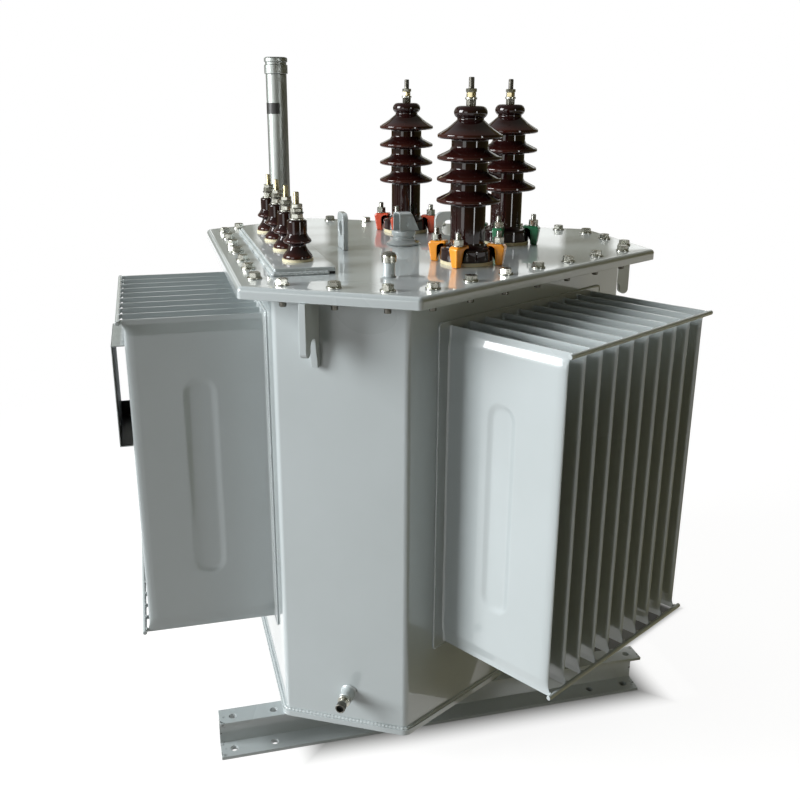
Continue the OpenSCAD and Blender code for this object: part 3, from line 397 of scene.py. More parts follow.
PORCELAIN = glazed_porcelain()
ZINC = metal("zinc_plated_steel", "#C6C6BE", "#9A998F", 0.26, 6)
BRASS = metal("nickel_washed_brass", "#CFC4A2", "#A89B75", 0.28, 5)
# Dark steel also stands as painted shade on the nuts under the cover's skirt.
DARK_STEEL = metal("blued_steel_and_painted_shade", "#77756E", "#4E4C46", 0.36, 5)
ALUMINIUM = metal("satin_drawn_aluminium", "#A3A7A4", "#868A87", 0.42, 2.5, (1, 1, 0.03))
SEAL = rubber("cream_moulded_rubber", "#DDD3B2", "#CFC49F", 0.55, 4)
GASKET = rubber("dark_oil_proof_rubber", "#333331", "#232322", 0.7, 3)
# Black is the gauge window's band; as painted shade it also lines the bracket and fills the drain bore.
BLACK = rubber("black_plastic_and_painted_shade", "#1B1B1A", "#111110", 0.4, 3)
print("finishes made:", len(bpy.data.materials))

# %% [markdown]
# ## Closed shells from arrays
# Every new piece is built from rings of points: an array of rows by columns, where the columns run round the piece
# and the rows run along it. The rows' ends are closed with a face, or joined to each other for a loop. Such an array
# is a shell, and a piece is a list of shells. Sizes are in millimetres, as on a drawing, and turn to metres when the
# mesh is made.

# %% Mesh helpers
def make_piece(name, shells, stands_for=(), material=GREY, crease=35, looped=False):
    """Joins shells into one mesh: quads between neighbouring rings, and a face at both ends unless looped."""
    points, faces, start = [], [], 0
    for rings in shells:
        rows, cols = rings.shape[:2]
        row = np.arange(rows if looped else rows - 1)[:, None]
        col = np.arange(cols)[None, :]
        after, beside = (row + 1) % rows, (col + 1) % cols
        quads = np.stack([row * cols + col, row * cols + beside, after * cols + beside, after * cols + col], -1)
        faces += (quads.reshape(-1, 4) + start).tolist()
        if not looped:
            faces.append((start + np.arange(cols)[::-1]).tolist())
            faces.append((start + (rows - 1) * cols + np.arange(cols)).tolist())
        points.append(rings.reshape(-1, 3))
        start += rows * cols
    mesh = bpy.data.meshes.new(name)
    mesh.from_pydata(np.concatenate(points) * 0.001, [], faces)
    shell = bmesh.new()
    shell.from_mesh(mesh)
    bmesh.ops.recalc_face_normals(shell, faces=shell.faces)
    shell.to_mesh(mesh)
    shell.free()
    mesh.shade_smooth()
    mesh.set_sharp_from_angle(angle=math.radians(crease))
    mesh.materials.append(material)
    piece = bpy.data.objects.new(name, mesh)
    scene.collection.objects.link(piece)
    piece.modifiers.new("even_normals", "WEIGHTED_NORMAL").keep_sharp = True
    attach(piece, "root")
    if stands_for:
        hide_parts(*stands_for)
    print(name, "faces:", len(faces))
    return piece


def rounded(corners, steps=6):
    """Polyline of (x, y, radius): each inner corner becomes an arc that touches both of its sides."""
    corners = np.array([(*c, 0) if len(c) == 2 else c for c in corners], float)
    parts = [corners[:1, :2]]
    for before, here, after in zip(corners[:-2], corners[1:-1], corners[2:]):
        u, v = before[:2] - here[:2], after[:2] - here[:2]
        lu, lv = np.linalg.norm(u), np.linalg.norm(v)
        u, v = u / lu, v / lv
        half = math.acos(np.clip(u @ v, -1, 1)) / 2
        if here[2] <= 0 or half > 1.55:
            parts.append(here[None, :2])
            continue
        back = min(here[2] / math.tan(half), 0.49 * lu, 0.49 * lv)
        r = back * math.tan(half)
        centre = here[:2] + (u + v) / np.linalg.norm(u + v) * (r / math.sin(half))
        first, last = here[:2] + u * back - centre, here[:2] + v * back - centre
        a = math.atan2(first[1], first[0])
        sweep = (math.atan2(last[1], last[0]) - a + math.pi) % (2 * math.pi) - math.pi
        turn = a + sweep * np.linspace(0, 1, steps)
        parts.append(centre + r * np.stack([np.cos(turn), np.sin(turn)], -1))
    parts.append(corners[-1:, :2])
    return np.concatenate(parts)


def full_turn(sides):
    """Even angles once round, without the last, which is the first again."""
    return np.linspace(0, 2 * np.pi, sides, endpoint=False)


def revolve(profile, place=(0, 0, 0), sides=48):
    """Profile of (radius, height) carried round the vertical axis: x = r cos t, y = r sin t, z = height."""
    r, z = np.asarray(profile, float).T
    t = full_turn(sides)
    rings = np.stack([r[:, None] * np.cos(t), r[:, None] * np.sin(t), z[:, None] + 0 * t], -1)
    return rings + np.asarray(place, float)


def plate(outline, low, high, r=1.0, steps=4):
    """Closed outline raised from low to high: at both rims it moves in by r (1 - sin a) as it climbs by
    r (1 - cos a)."""
    edge = np.roll(outline, -1, 0) - outline
    edge = edge / np.linalg.norm(edge, axis=1, keepdims=True)
    side = np.stack([edge[:, 1], -edge[:, 0]], -1)
    prior = np.roll(side, 1, 0)
    mitre = (side + prior) / np.maximum(1 + (side * prior).sum(1, keepdims=True), 0.3)
    a = np.linspace(0, np.pi / 2, steps)
    inset = np.concatenate([r * (1 - np.sin(a)), r * (1 - np.sin(a[::-1]))])
    z = np.concatenate([low + r * (1 - np.cos(a)), high - r * (1 - np.cos(a[::-1]))])
    flat = outline[None] - inset[:, None, None] * mitre[None]
    return np.concatenate([flat, np.broadcast_to(z[:, None, None], (len(z), len(outline), 1))], -1)


def box_outline(x0, y0, x1, y1, r, steps=4):
    """Rectangle with rounded corners, anticlockwise from the middle of its lower side."""
    middle = (x0 + x1) / 2
    return rounded([(middle, y0), (x1, y0, r), (x1, y1, r), (x0, y1, r), (x0, y0, r), (middle, y0)], steps)[:-1]


print("helpers ready")

# %% [markdown]
# ## The six-sided plan
# Three long sides carry fins and three short sides are plain. Each side is a face with its own frame: out of the
# wall, along the wall and up. Pieces are shaped in that frame once and then turned to each side.

# %% Faces of the tank
BANK_SIDE, PLAIN_SIDE = 600.0, 232.0
BANKS = {"left": 3, "front": 5, "back": 1}
PLAIN = {"front": 4, "right": 0, "back": 2}


def wall_distance(face):
    """Distance from the axis to a side: its own length plus twice the other, over twice the root of three."""
    own, other = (PLAIN_SIDE, BANK_SIDE) if face % 2 == 0 else (BANK_SIDE, PLAIN_SIDE)
    return (own + 2 * other) / (2 * math.sqrt(3))


def turned(points, degrees):
    """Turns points about the vertical axis."""
    a = math.radians(degrees)
    return points @ np.array([[math.cos(a), math.sin(a), 0], [-math.sin(a), math.cos(a), 0], [0, 0, 1]])


def on_face(points, face):
    """Turns (out, along, up) into x, y, z: out times the side's normal plus along times its direction."""
    return turned(points, 60 * face)


def tank_ring(out, r, steps=6):
    """Six-sided outline moved out; each corner is an arc of radius r about the corner of an outline r further in."""
    far = np.array([wall_distance(i) for i in range(6)]) + out - r
    turn = np.radians(60 * np.arange(6))
    shift = (np.roll(far, -1) - far * math.cos(math.pi / 3)) / math.sin(math.pi / 3)
    centre = np.stack([far * np.cos(turn) - shift * np.sin(turn), far * np.sin(turn) + shift * np.cos(turn)], -1)
    angle = turn[:, None] + np.linspace(0, np.pi / 3, steps)
    return (centre[:, None] + r * np.stack([np.cos(angle), np.sin(angle)], -1)).reshape(-1, 2)


print("walls stand", [round(wall_distance(i)) for i in range(6)], "mm from the axis")

# %% [markdown]
# ## Fin banks
# A fin is a folded sheet. Its top and bottom are pressed together to a thin welded seam that flares outwards, a long
# recess is pressed into both sides, and its outer edge is round. One half thickness, as a function of the distance
# from the wall and of the height, gives the whole skin: the recess, the seams and a slight bulge from the oil are
# terms of the same formula. Ten fins stand on one panel.

# %% Fins
FIN_COUNT, FIN_PITCH, FIN_DEPTH, FIN_HEIGHT, FIN_FOOT = 10, 45.0, 237.0, 596.0, 235.0
SEAM_FLARE, SEAM_HALF, NOSE_LENGTH = 5.0, 1.3, 15.0
BODY_RISE, BULGE = 3.3, 0.5
RECESS_OUT, RECESS_END, RECESS_HALF, RECESS_DEPTH = 118.0, 137.0, 24.0, 3.0
PANEL_HALF, PANEL_RIM = 230.5, 7.0


def ease(t):
    """Smooth step from 0 to 1: t squared times (3 - 2 t)."""
    t = np.clip(t, 0, 1)
    return t * t * (3 - 2 * t)


def half_thickness(x, z):
    """Seam half thickness, plus the rise to full thickness over the slope above the seam, which starts later near
    the wall and the outer edge, plus the bulge, minus the recess, whose depth eases in from an obround outline."""
    near = np.minimum(z, FIN_HEIGHT - z)
    hip = 10 * (1 - ease(np.minimum(x, FIN_DEPTH - x) / 16))
    rise = np.clip((near - 10 - hip) / 17, 0, 1)
    bulge = BULGE * np.sin(np.pi * np.clip(x / FIN_DEPTH, 0, 1)) * np.sin(np.pi * z / FIN_HEIGHT)
    from_line = np.hypot(x - RECESS_OUT, z - np.clip(z, RECESS_END, FIN_HEIGHT - RECESS_END)) - RECESS_HALF
    return SEAM_HALF + BODY_RISE * rise + bulge - RECESS_DEPTH * np.clip((5 - from_line) / 10, 0, 1)


def fin_rings():
    """At each height a loop: out along one side, round the nose, which is half an ellipse, and back again."""
    z = np.concatenate([[0, 3, 6, 8, 10, 13, 16, 19, 22, 25.3, 28, 32, 37, 44, 60, 80, 165, 200, 250, 298],
                        np.linspace(100, 146, 13)])
    z = np.unique(np.concatenate([z, FIN_HEIGHT - z]))[:, None]
    near = np.minimum(z, FIN_HEIGHT - z)
    tip = FIN_DEPTH + SEAM_FLARE * np.clip(1 - (near - 3) / 15, 0, 1) ** 1.7
    x = np.concatenate([[1, 2.2, 3.2, 4.4, 6, 14, 40, 65], np.linspace(86, 104, 7), [110, 118, 126],
                        np.linspace(132, 150, 7), [172, 195, 212, 221]])[None, :]
    nose = half_thickness(np.full_like(z, FIN_DEPTH - 16), z)
    half = half_thickness(x, z) + 4 * (1 - np.sqrt(1 - (1 - np.clip((x - 2) / 4, 0, 1)) ** 2))
    wide = np.broadcast_to(x, half.shape)
    turn = np.radians(np.linspace(-90, 90, 9))[None, :]
    round_x, round_y = tip - NOSE_LENGTH * (1 - np.cos(turn)), nose * np.sin(turn)
    out = np.concatenate([wide, round_x, wide[:, ::-1]], 1)
    along = np.concatenate([-half, round_y, half[:, ::-1]], 1)
    return np.stack([out, along, np.broadcast_to(z, out.shape)], -1)


fin = fin_rings()
for bank, face in BANKS.items():
    far = wall_distance(face)
    shells = []
    for k in range(FIN_COUNT):
        place = np.array([far, (k - (FIN_COUNT - 1) / 2) * FIN_PITCH, FIN_FOOT])
        shells.append(on_face(fin + place, face))
    panel = plate(box_outline(-PANEL_HALF, FIN_FOOT - PANEL_RIM, PANEL_HALF, FIN_FOOT + FIN_HEIGHT + PANEL_RIM, 5),
                  0.1, 2.1, 0.8)
    shells.append(on_face(panel[..., [2, 0, 1]] + np.array([far, 0, 0]), face))
    make_piece(bank + "_fins", shells, [bank + "_fin_bank"])

# %% [markdown]
# ## Tie rods
# A round bar along the top and the bottom corner of each bank keeps the fins apart. A dab of weld fixes it to every
# fin, so each rod is a turned bar with a row of small flattened beads.

# %% Tie rods
ROD_RADIUS, ROD_OUT, ROD_HALF = 4.0, FIN_DEPTH + SEAM_FLARE + 4.2, 4.5 * FIN_PITCH + 11.5
DAB_IN, DAB_SIZE = 3.4, (3.6, 4.6, 4.4)
rod_low, rod_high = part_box("left_tie_rods")
rod_heights = (rod_low.z * 1000 + ROD_RADIUS, rod_high.z * 1000 - ROD_RADIUS)


def bar(r, low, high, soft=1.0, sides=20):
    """Turned bar between two heights with its end edges rounded."""
    return revolve(rounded([(0.2, low), (r, low, soft), (r, high, soft), (0.2, high)], 4), sides=sides)


def dab(size, sides=12, rows=7):
    """Ellipsoid: radius and height follow the sine and cosine of the angle from its pole."""
    a = np.linspace(0.08, np.pi - 0.08, rows)
    return revolve(np.stack([np.sin(a), -np.cos(a)], -1), sides=sides) * np.asarray(size, float)


for bank, face in BANKS.items():
    far = wall_distance(face)
    shells = []
    for height in rod_heights:
        rod = bar(ROD_RADIUS, -ROD_HALF, ROD_HALF)[..., [0, 2, 1]]
        shells.append(on_face(rod + np.array([far + ROD_OUT, 0, height]), face))
        for k in range(FIN_COUNT):
            place = np.array([far + ROD_OUT - DAB_IN, (k - (FIN_COUNT - 1) / 2) * FIN_PITCH, height])
            shells.append(on_face(dab(DAB_SIZE) + place, face))
    make_piece(bank + "_rods", shells, [bank + "_tie_rods"])

# %% [markdown]
# ## Plain walls
# Each plain wall is one sheet, bent round two corners of the tank until it meets the panels of the fins. The plan of
# the sheet, with its round bends, is raised from the bottom plate to the flange.

# %% Plain walls
WALL_FOOT, WALL_TOP, WALL_T, BEND = 90.0, 885.0, 5.0, 14.0
PANEL_EDGE = 222.5


def face_plan(face, out, along):
    """Point in plan on a side, at a distance out from its wall."""
    return on_face(np.array([wall_distance(face) + out, along, 0.0]), face)[:2]


def corner_plan(face, out):
    """Corner between a side and the next one, on the outline moved out."""
    a, b = wall_distance(face) + out, wall_distance((face + 1) % 6) + out
    return face_plan(face, out, (b - a * math.cos(math.pi / 3)) / math.sin(math.pi / 3))


def sheet_plan(face):
    """Outline of a bent sheet: out along its outer side, back along its inner side, with concentric bends."""
    before, after = (face - 1) % 6, (face + 1) % 6
    sides = []
    for out in (0.0, -WALL_T):
        corners = [face_plan(before, out, PANEL_EDGE), corner_plan(before, out), corner_plan(face, out),
                   face_plan(after, out, -PANEL_EDGE)]
        sides.append(rounded([(*p, r) for p, r in zip(corners, (0, BEND + out, BEND + out, 0))], 14))
    return np.concatenate([sides[0], sides[1][::-1]])


for wall, face in PLAIN.items():
    shell = plate(sheet_plan(face), WALL_FOOT, WALL_TOP, 0.6, 3)
    make_piece(wall + "_plain_wall", [shell], [wall + "_wall"])

# %% [markdown]
# ## Cover
# The cover is a tray of sheet steel whose rim is folded down all round. Its section, from the underside round the
# skirt to the top, is carried round the six-sided plan.

# %% Cover
COVER_TOP, SKIRT_FOOT, COVER_OUT, COVER_T, COVER_BEND = 904.0, 884.0, 57.0, 5.0, 8.0


def tray_rings():
    """Section of (out, height) with round bends; each of its points becomes a ring round the plan."""
    inner = COVER_OUT - COVER_T
    section = rounded([
        (30, COVER_TOP - COVER_T), (inner, COVER_TOP - COVER_T, 3), (inner, SKIRT_FOOT, 0.8),
        (COVER_OUT, SKIRT_FOOT, 0.8), (COVER_OUT, COVER_TOP, COVER_BEND), (30, COVER_TOP)], 9)
    rings = [np.column_stack([ring, np.full(len(ring), z)])
             for out, z in section for ring in [tank_ring(out, max(1.5, 10 + out - COVER_OUT))]]
    return np.stack(rings)


make_piece("folded_cover", [tray_rings()], ["cover"])

# %% [markdown]
# ## Bolts and nuts
# Thirty bolts close the cover. A hexagon head is a radius that depends on the angle, cut by a cone at its
# top, which gives the curved chamfer lines of a real head. Threads are helices with a fine pitch.

# %% Bolts
def hexagon(flat, low, high, turn=0.0, both=True, sides=48):
    """Radius is flat / cos(angle from the nearest flat), limited by a cone that starts at the flats at the ends."""
    t = full_turn(sides)
    six = flat / np.cos((t + np.pi / 6) % (np.pi / 3) - np.pi / 6)
    step = 0.09 * flat
    up_from = np.array([0, step / 2, step])
    z = np.concatenate([low + up_from, high - up_from[::-1]])
    cone = flat * 0.98 + np.concatenate([up_from if both else up_from * 0 + flat, up_from[::-1]]) * 1.75
    r = np.minimum(six[None], cone[:, None])
    return np.stack([r * np.cos(t + turn), r * np.sin(t + turn), np.broadcast_to(z[:, None], r.shape)], -1)


def threaded(r, low, high, pitch=1.6, sides=24):
    """Bar whose radius dips by a saw tooth of (height / pitch - angle), which makes a helix."""
    z = np.arange(low, high - 1.2, pitch / 4)[:, None]
    t = full_turn(sides)[None]
    ridge = r - 0.45 * np.abs(2 * ((z / pitch - t / (2 * np.pi)) % 1) - 1)
    tip = np.array([high - 0.9, high])[:, None] + 0 * t
    z = np.concatenate([np.broadcast_to(z, ridge.shape), tip])
    ridge = np.concatenate([ridge, np.array([r - 0.4, r - 1.4])[:, None] + 0 * t])
    return np.stack([ridge * np.cos(t), ridge * np.sin(t), z], -1)


def disc(r, low, high, soft=0.5, sides=32):
    """Washer or disc with rounded edges."""
    return bar(r, low, high, soft, sides)


BOLT_OUT, BOLT_FLAT, BOLT_END, NUT_FOOT = 22.0, 9.1, 869.0, 877.0
bolt_shells, nut_shells = [], []
for face in range(6):
    count, pitch = (3, 87.0) if face % 2 == 0 else (7, 90.0)
    for k in range(count):
        place = np.array([*face_plan(face, BOLT_OUT, (k - (count - 1) / 2) * pitch), 0.0])
        turn = 2.4 * len(bolt_shells)
        bolt_shells += [part + place for part in (
            disc(12.6, COVER_TOP, COVER_TOP + 2.5),
            hexagon(BOLT_FLAT, COVER_TOP + 2.5, COVER_TOP + 10.5, turn, False))]
        nut_shells += [part + place for part in (
            hexagon(BOLT_FLAT, NUT_FOOT, NUT_FOOT + 7.9, turn), bar(6, BOLT_END, COVER_TOP + 3, 1.0, 12))]
make_piece("cover_bolt_set", bolt_shells, ["cover_bolts"], ZINC)
# The nuts and shank ends under the flange take the dark steel as painted shade, the shadow under the cover's skirt.
make_piece("cover_nuts_and_shanks_in_painted_shade", nut_shells, (), DARK_STEEL)

# %% [markdown]
# ## High-voltage bushings
# Three porcelain insulators stand on cream seals. Each is turned on a wheel before it is fired, so a profile carried
# round an axis is the natural way: a broad foot, a shank, four sheds with round rims and sloping tops, and a
# round head. The rims carry an attribute that tells the glaze where it is thin.

# %% High-voltage insulators
HV_PLACES = {"front": (59.0, -207.0), "right": (212.0, 0.0), "back": (59.0, 207.0)}
SHED_HEIGHTS, SHED_RADIUS = (111.0, 147.5, 184.0, 220.5), 56.5


def hv_profile():
    """Corners of (radius, height over the cover, rounding), from the foot up to the head."""
    corners = [(0.5, 6.2), (48.5, 6.2, 2), (48.5, 29.5, 5), (38, 30.5, 8), (31, 34, 6), (31, 105, 4)]
    for z in SHED_HEIGHTS:
        corners += [(52, z - 4.8, 2), (SHED_RADIUS, z - 2.8, 2.6), (SHED_RADIUS, z + 2.4, 2.8)]
        if z != SHED_HEIGHTS[-1]:
            corners += [(34.5, z + 13, 9), (32, z + 18, 3), (32, z + 31, 3)]
    corners += [(38, z + 13.8, 70), (23, z + 26.5, 3), (23.2, z + 29, 1)]
    turn = np.radians(np.linspace(-60, 90, 16))
    head = np.stack([18.6 + 10.4 * np.cos(turn), z + 38.6 + 10.4 * np.sin(turn)], -1)
    return np.concatenate([rounded(corners, 8), head, [(0.5, z + 49)]])


def shade_rims(piece, profile, sides, inner, outer):
    """Stores glaze_thin: it eases from 0 to 1 as the radius goes from inner to outer."""
    thin = np.repeat(ease((profile[:, 0] - inner) / (outer - inner)), sides)
    piece.data.attributes.new("glaze_thin", "FLOAT", "POINT").data.foreach_set("value", thin.astype(np.float32))


profile = hv_profile()
for name, (x, y) in HV_PLACES.items():
    made = make_piece("hv_porcelain_" + name, [revolve(profile, (x, y, COVER_TOP), 96)], ["hv_insulator_" + name],
                      PORCELAIN)
    shade_rims(made, profile, 96, 50, SHED_RADIUS)

# %% [markdown]
# On each head sit a dark lower nut, a bright washer, a brass nut and a bright nut, and the end of a dark threaded
# stud stands out of them.

# %% High-voltage terminals
HEAD_TOP, HV_FLAT, STUD_RADIUS = COVER_TOP + 269.5, 7.6, 5.0
nuts, brass, dark = [], [], []
for k, (x, y) in enumerate(HV_PLACES.values()):
    place = np.array([x, y, HEAD_TOP])
    dark += [hexagon(HV_FLAT, 0.2, 10.4, 0.4 + k) + place, threaded(STUD_RADIUS, 10, 47) + place]
    nuts += [disc(10.2, 10.4, 14) + place, hexagon(8.2, 22.4, 28.6, 0.2 + k) + place]
    brass.append(hexagon(HV_FLAT, 14, 22.4, 0.9 + k) + place)
make_piece("hv_nuts_and_washers", nuts, ["hv_studs"], ZINC)
make_piece("hv_brass_nuts", brass, (), BRASS)
make_piece("hv_studs_and_lower_nuts", dark, (), DARK_STEEL)

# %% [markdown]
# ## Clamps
# Four cast clamps hold the foot of each bushing down. Seen from the side a clamp is a leg with a beak over the
# porcelain; seen from outside it narrows to its foot. Each phase has its own colour: yellow, green and red. A nut
# on a stud pulls every clamp down.

# %% Clamps
def clamp_outline():
    """Side view of (distance from the bushing's axis, height): foot, sloping back, round top and beak."""
    return rounded([(60, 0.2), (66.5, 0.2, 2), (71, 33, 4), (66, 37.4, 5), (52, 37.2, 4), (40, 38.4, 3),
                    (36.5, 34.5, 3), (40, 30.6, 3), (47, 30.4, 3), (53, 26, 6), (53.5, 0.2, 2), (60, 0.2)], 5)[:-1]


CLAMP_TURN, CLAMP_HALF, CLAMP_TOP, CLAMP_BOLT = 55, 10.5, 37.2, np.array([57.5, 0, 0])
CLAMP_SWING = {("front", 2): -28}
CLAMP_SLOT = {"front": "yellow_clamp", "right": "green_clamp", "back": "red_clamp"}
clamp = plate(clamp_outline(), -CLAMP_HALF, CLAMP_HALF, 3.0)[..., [0, 2, 1]]
clamp[..., 1] *= (0.62 + 0.38 * ease(clamp[..., 2] / 22)) * (0.8 + 0.2 * ease((clamp[..., 0] - 38) / 14))
clamp_nuts = []
for name, (x, y) in HV_PLACES.items():
    place = np.array([x, y, COVER_TOP])
    shells = []
    for k in range(4):
        swung = turned(clamp - CLAMP_BOLT, CLAMP_SWING.get((name, k), 0)) + CLAMP_BOLT
        shells.append(turned(swung, CLAMP_TURN + 90 * k) + place)
    make_piece("clamps_" + name, shells, ["hv_clamps_" + name], CLAMP_PAINT[name])
    for k in range(4):
        spot = turned(CLAMP_BOLT + np.array([0, 0, CLAMP_TOP]), CLAMP_TURN + 90 * k) + place
        clamp_nuts += [part + spot for part in (
            disc(9.8, 0.2, 2, sides=24), hexagon(8.4, 2, 12, k), threaded(STUD_RADIUS, 2, 23, 1.6, 16))]
make_piece("clamp_nut_set", clamp_nuts, ["clamp_bolts"], ZINC)

# %% [markdown]
# ## Low-voltage row
# Four small bushings share one plate: three phases and a neutral. They are turned like the tall ones, with a bell
# foot, one shed and a plain head.

# %% Low-voltage bushings
LV_X, LV_SEAT, LV_PITCH, LV_HEIGHT = -243.0, 920.0, 121.0, 66.0
LV_HALF_WIDE, LV_HALF_LONG = 52.0, 258.0
lv_profile = rounded([
    (0.5, 0.1), (26, 0.1, 1.5), (25.6, 5, 4), (18.5, 14, 18), (14.8, 21, 5), (15.2, 24, 2), (22, 26.5, 1.5),
    (24.5, 28.4, 2), (24.5, 31.4, 2.2), (20.5, 36, 10), (17.25, 42, 3), (17.25, LV_HEIGHT, 3.5),
    (0.5, LV_HEIGHT)], 7)
lv_outline = box_outline(LV_X - LV_HALF_WIDE, -LV_HALF_LONG, LV_X + LV_HALF_WIDE, LV_HALF_LONG, 3)
make_piece("lv_mounting_plate", [plate(lv_outline, 908, 916, 1.5)], ["lv_plate"])
nuts, brass, dark = [], [], []
for k in range(4):
    place = np.array([LV_X, (k - 1.5) * LV_PITCH, LV_SEAT])
    made = make_piece(f"lv_porcelain_{k + 1}", [revolve(lv_profile, place, 72)], [f"lv_insulator_{k + 1}"],
                      PORCELAIN)
    shade_rims(made, lv_profile, 72, 21, 24.5)
    place = place + np.array([0, 0, LV_HEIGHT])
    nuts += [part + place for part in (
        disc(13, 0.1, 2.4), hexagon(10, 2.4, 10.4, k), hexagon(9.4, 13, 20, 0.5 + k), hexagon(9.4, 20.4, 27, 1.1 + k))]
    dark.append(disc(12, 10.4, 13) + place)
    brass.append(threaded(STUD_RADIUS, 10, 47) + place)
make_piece("lv_nuts", nuts, ["lv_studs"], ZINC)
make_piece("lv_spring_washers", dark, (), DARK_STEEL)
make_piece("lv_brass_studs", brass, (), BRASS)

# %% [markdown]
# ## Level gauge
# A drawn aluminium tube shows the oil level. It stands in a welded socket and has a dark window and a cap with two
# rings.

# %% Level gauge
GAUGE = np.array([-203.0, 300.0, COVER_TOP])
tube = rounded([(0.5, 0.2), (22, 0.2, 0.8), (22, 325.8, 0.8), (0.5, 325.8)], 4)
cap = rounded([(0.5, 326), (24.5, 326, 1.5), (24.5, 344.5, 1.5), (22.2, 345, 0.6), (22.2, 349.5, 0.6),
               (24.5, 350, 1.2), (24.5, 358, 1.6), (20, 360, 2), (0.5, 360)], 5)
make_piece("gauge_body", [revolve(tube, GAUGE, 64)], ["gauge_tube"], ALUMINIUM)
make_piece("gauge_top", [revolve(cap, GAUGE, 64)], ["gauge_cap"], ALUMINIUM)
turn = np.radians(np.linspace(176, 276, 25))
arc = np.stack([np.cos(turn), np.sin(turn)], -1)
window = plate(np.concatenate([22.5 * arc, 21.4 * arc[::-1]]), 245.5, 268, 0.3, 3)
make_piece("gauge_window", [window + GAUGE], (), BLACK)
socket = rounded([(22.1, 0.1), (29.2, 0.1, 1), (29.2, 16, 1.5), (22.1, 16)], 4)
make_piece("gauge_ring", [revolve(socket, GAUGE, 64)], ["gauge_socket"], looped=True)

# %% [markdown]
# ## Filler and relief valve
# The filler is a short pipe with a domed cap. The relief valve is a turned body under a bent sheet hood; the hood's
# solid is already right and keeps its place.

# %% Filler and relief valve
FILLER = np.array([-111.0, -306.0, COVER_TOP])
RELIEF = np.array([5.0, 28.0, COVER_TOP])
pipe = rounded([(0.5, 0.1), (13, 0.1, 0.5), (10, 3, 2), (10, 24, 0.5), (0.5, 24)], 4)
dome = rounded([(0.5, 24), (12.5, 24, 1), (12.5, 36, 6), (8, 41.6, 8), (0.5, 42)], 7)
make_piece("filler_pipe", [revolve(pipe, FILLER, 40)], ["filler_neck"])
make_piece("filler_dome", [revolve(dome, FILLER, 40)], ["filler_cap"], ZINC)
valve = rounded([(0.5, 0.1), (34, 0.1, 0.8), (34, 4, 1.2), (24, 9, 3), (23, 9.6, 2), (23.5, 14.6, 2.5),
                 (21, 15.2, 0.6), (21, 18, 0.6), (24, 18.4, 2), (24, 27.9, 2.5), (0.5, 27.9)], 6)
make_piece("relief_body", [revolve(valve, RELIEF, 64)], ["relief_valve"])
screw = hexagon(4, 0, 4, 0.3) + RELIEF + np.array([22.0, -20.0, 5.5])
make_piece("relief_screw", [screw], (), BRASS)

# %% [markdown]
# ## Lugs
# Lifting lugs are upright plates with a round hole. A plate with a hole has no end to close, so its rings run from
# the hole's edge to the outline and back as a loop.

# %% Lugs
def resample(path, count):
    """Points at even distances along a polyline."""
    far = np.concatenate([[0], np.cumsum(np.linalg.norm(np.diff(path, axis=0), axis=1))])
    at = np.linspace(0, far[-1], count)
    return np.stack([np.interp(at, far, axis) for axis in path.T], -1)


def lug_rings(half=27.5, low=-38.8, high=31.0, hole=15.0, thick=5.0, soft=1.2):
    """About the hole's centre each point of the outline has a partner on the hole in the same direction. Rings run up
    the rim from the back to the front and through the hole from the front to the back, with softened edges."""
    outline = rounded([(0, low), (half, low, 1), (half, high, 15), (-half, high, 15), (-half, low, 1), (0, low)], 12)
    outline = resample(outline, 97)[:-1]
    away = outline / np.linalg.norm(outline, axis=1, keepdims=True)
    a = np.linspace(0, np.pi / 2, 4)
    climb, inset = thick - soft * (1 - np.cos(a)), soft * (1 - np.sin(a))
    depth = np.concatenate([-climb, climb[::-1], climb, -climb[::-1]])
    rim = [outline - d * away for d in np.concatenate([inset, inset[::-1]])]
    bore = [(hole + d) * away for d in np.concatenate([inset, inset[::-1]])]
    return np.stack([np.column_stack([np.full(len(ring), x), ring]) for x, ring in zip(depth, rim + bore)])


lug = lug_rings() + np.array([0, 0, COVER_TOP + 39])
make_piece("lifting_lugs", [lug + np.array([-125.0, 0, 0]), turned(lug, 90) + np.array([79.0, -33.0, 0])],
           ["cover_lugs"], looped=True)

# %% [markdown]
# ## Hooks
# Hooks under the cover hold the slings that lift the whole tank. A hook is cut from flat plate, so its outline is
# drawn from the side, with a round notch behind a finger, and given a thickness.

# %% Hooks
HOOK_HEIGHT = 116.0
HOOK_FOOT = 883.8 - HOOK_HEIGHT


def hook_outline():
    """Side view of (distance from the wall, height over the hook's foot): root, round notch and finger."""
    arch = np.radians(np.linspace(180, 0, 13))
    tip = np.radians(np.linspace(180, 360, 11))
    notch = np.stack([30 + 12 * np.cos(arch), 41 + 12 * np.sin(arch)], -1)
    finger = np.stack([52 + 10 * np.cos(tip), 37 + 10 * np.sin(tip)], -1)
    return np.concatenate([[(0.1, 0), (10, 0)], notch, finger, [(62, HOOK_HEIGHT), (0.1, HOOK_HEIGHT)]])


hook = plate(hook_outline(), -6, 6, 1.2)
hook_shells = []
for face in PLAIN.values():
    place = np.array([wall_distance(face), -40.0, HOOK_FOOT])
    hook_shells.append(on_face(hook[..., [0, 2, 1]] + place, face))
make_piece("lifting_hooks", hook_shells, ["tank_hooks"])

# %% [markdown]
# ## Bracket
# A shallow tray of folded sheet stands in front of the left fins to carry a plate; it is left bare. Thin rounded
# slabs make its face and its folds, and a second set lines its inner side in black as painted shade, the shadow
# inside the tray.

# %% Bracket
BRACKET_WIDE, BRACKET_HIGH, BRACKET_DEEP = 168.0, 182.0, 23.0
BRACKET_OUT, BRACKET_NEAR, BRACKET_FOOT = 237.2, 202.5 - BRACKET_WIDE, 831.0 - 44 - BRACKET_HIGH


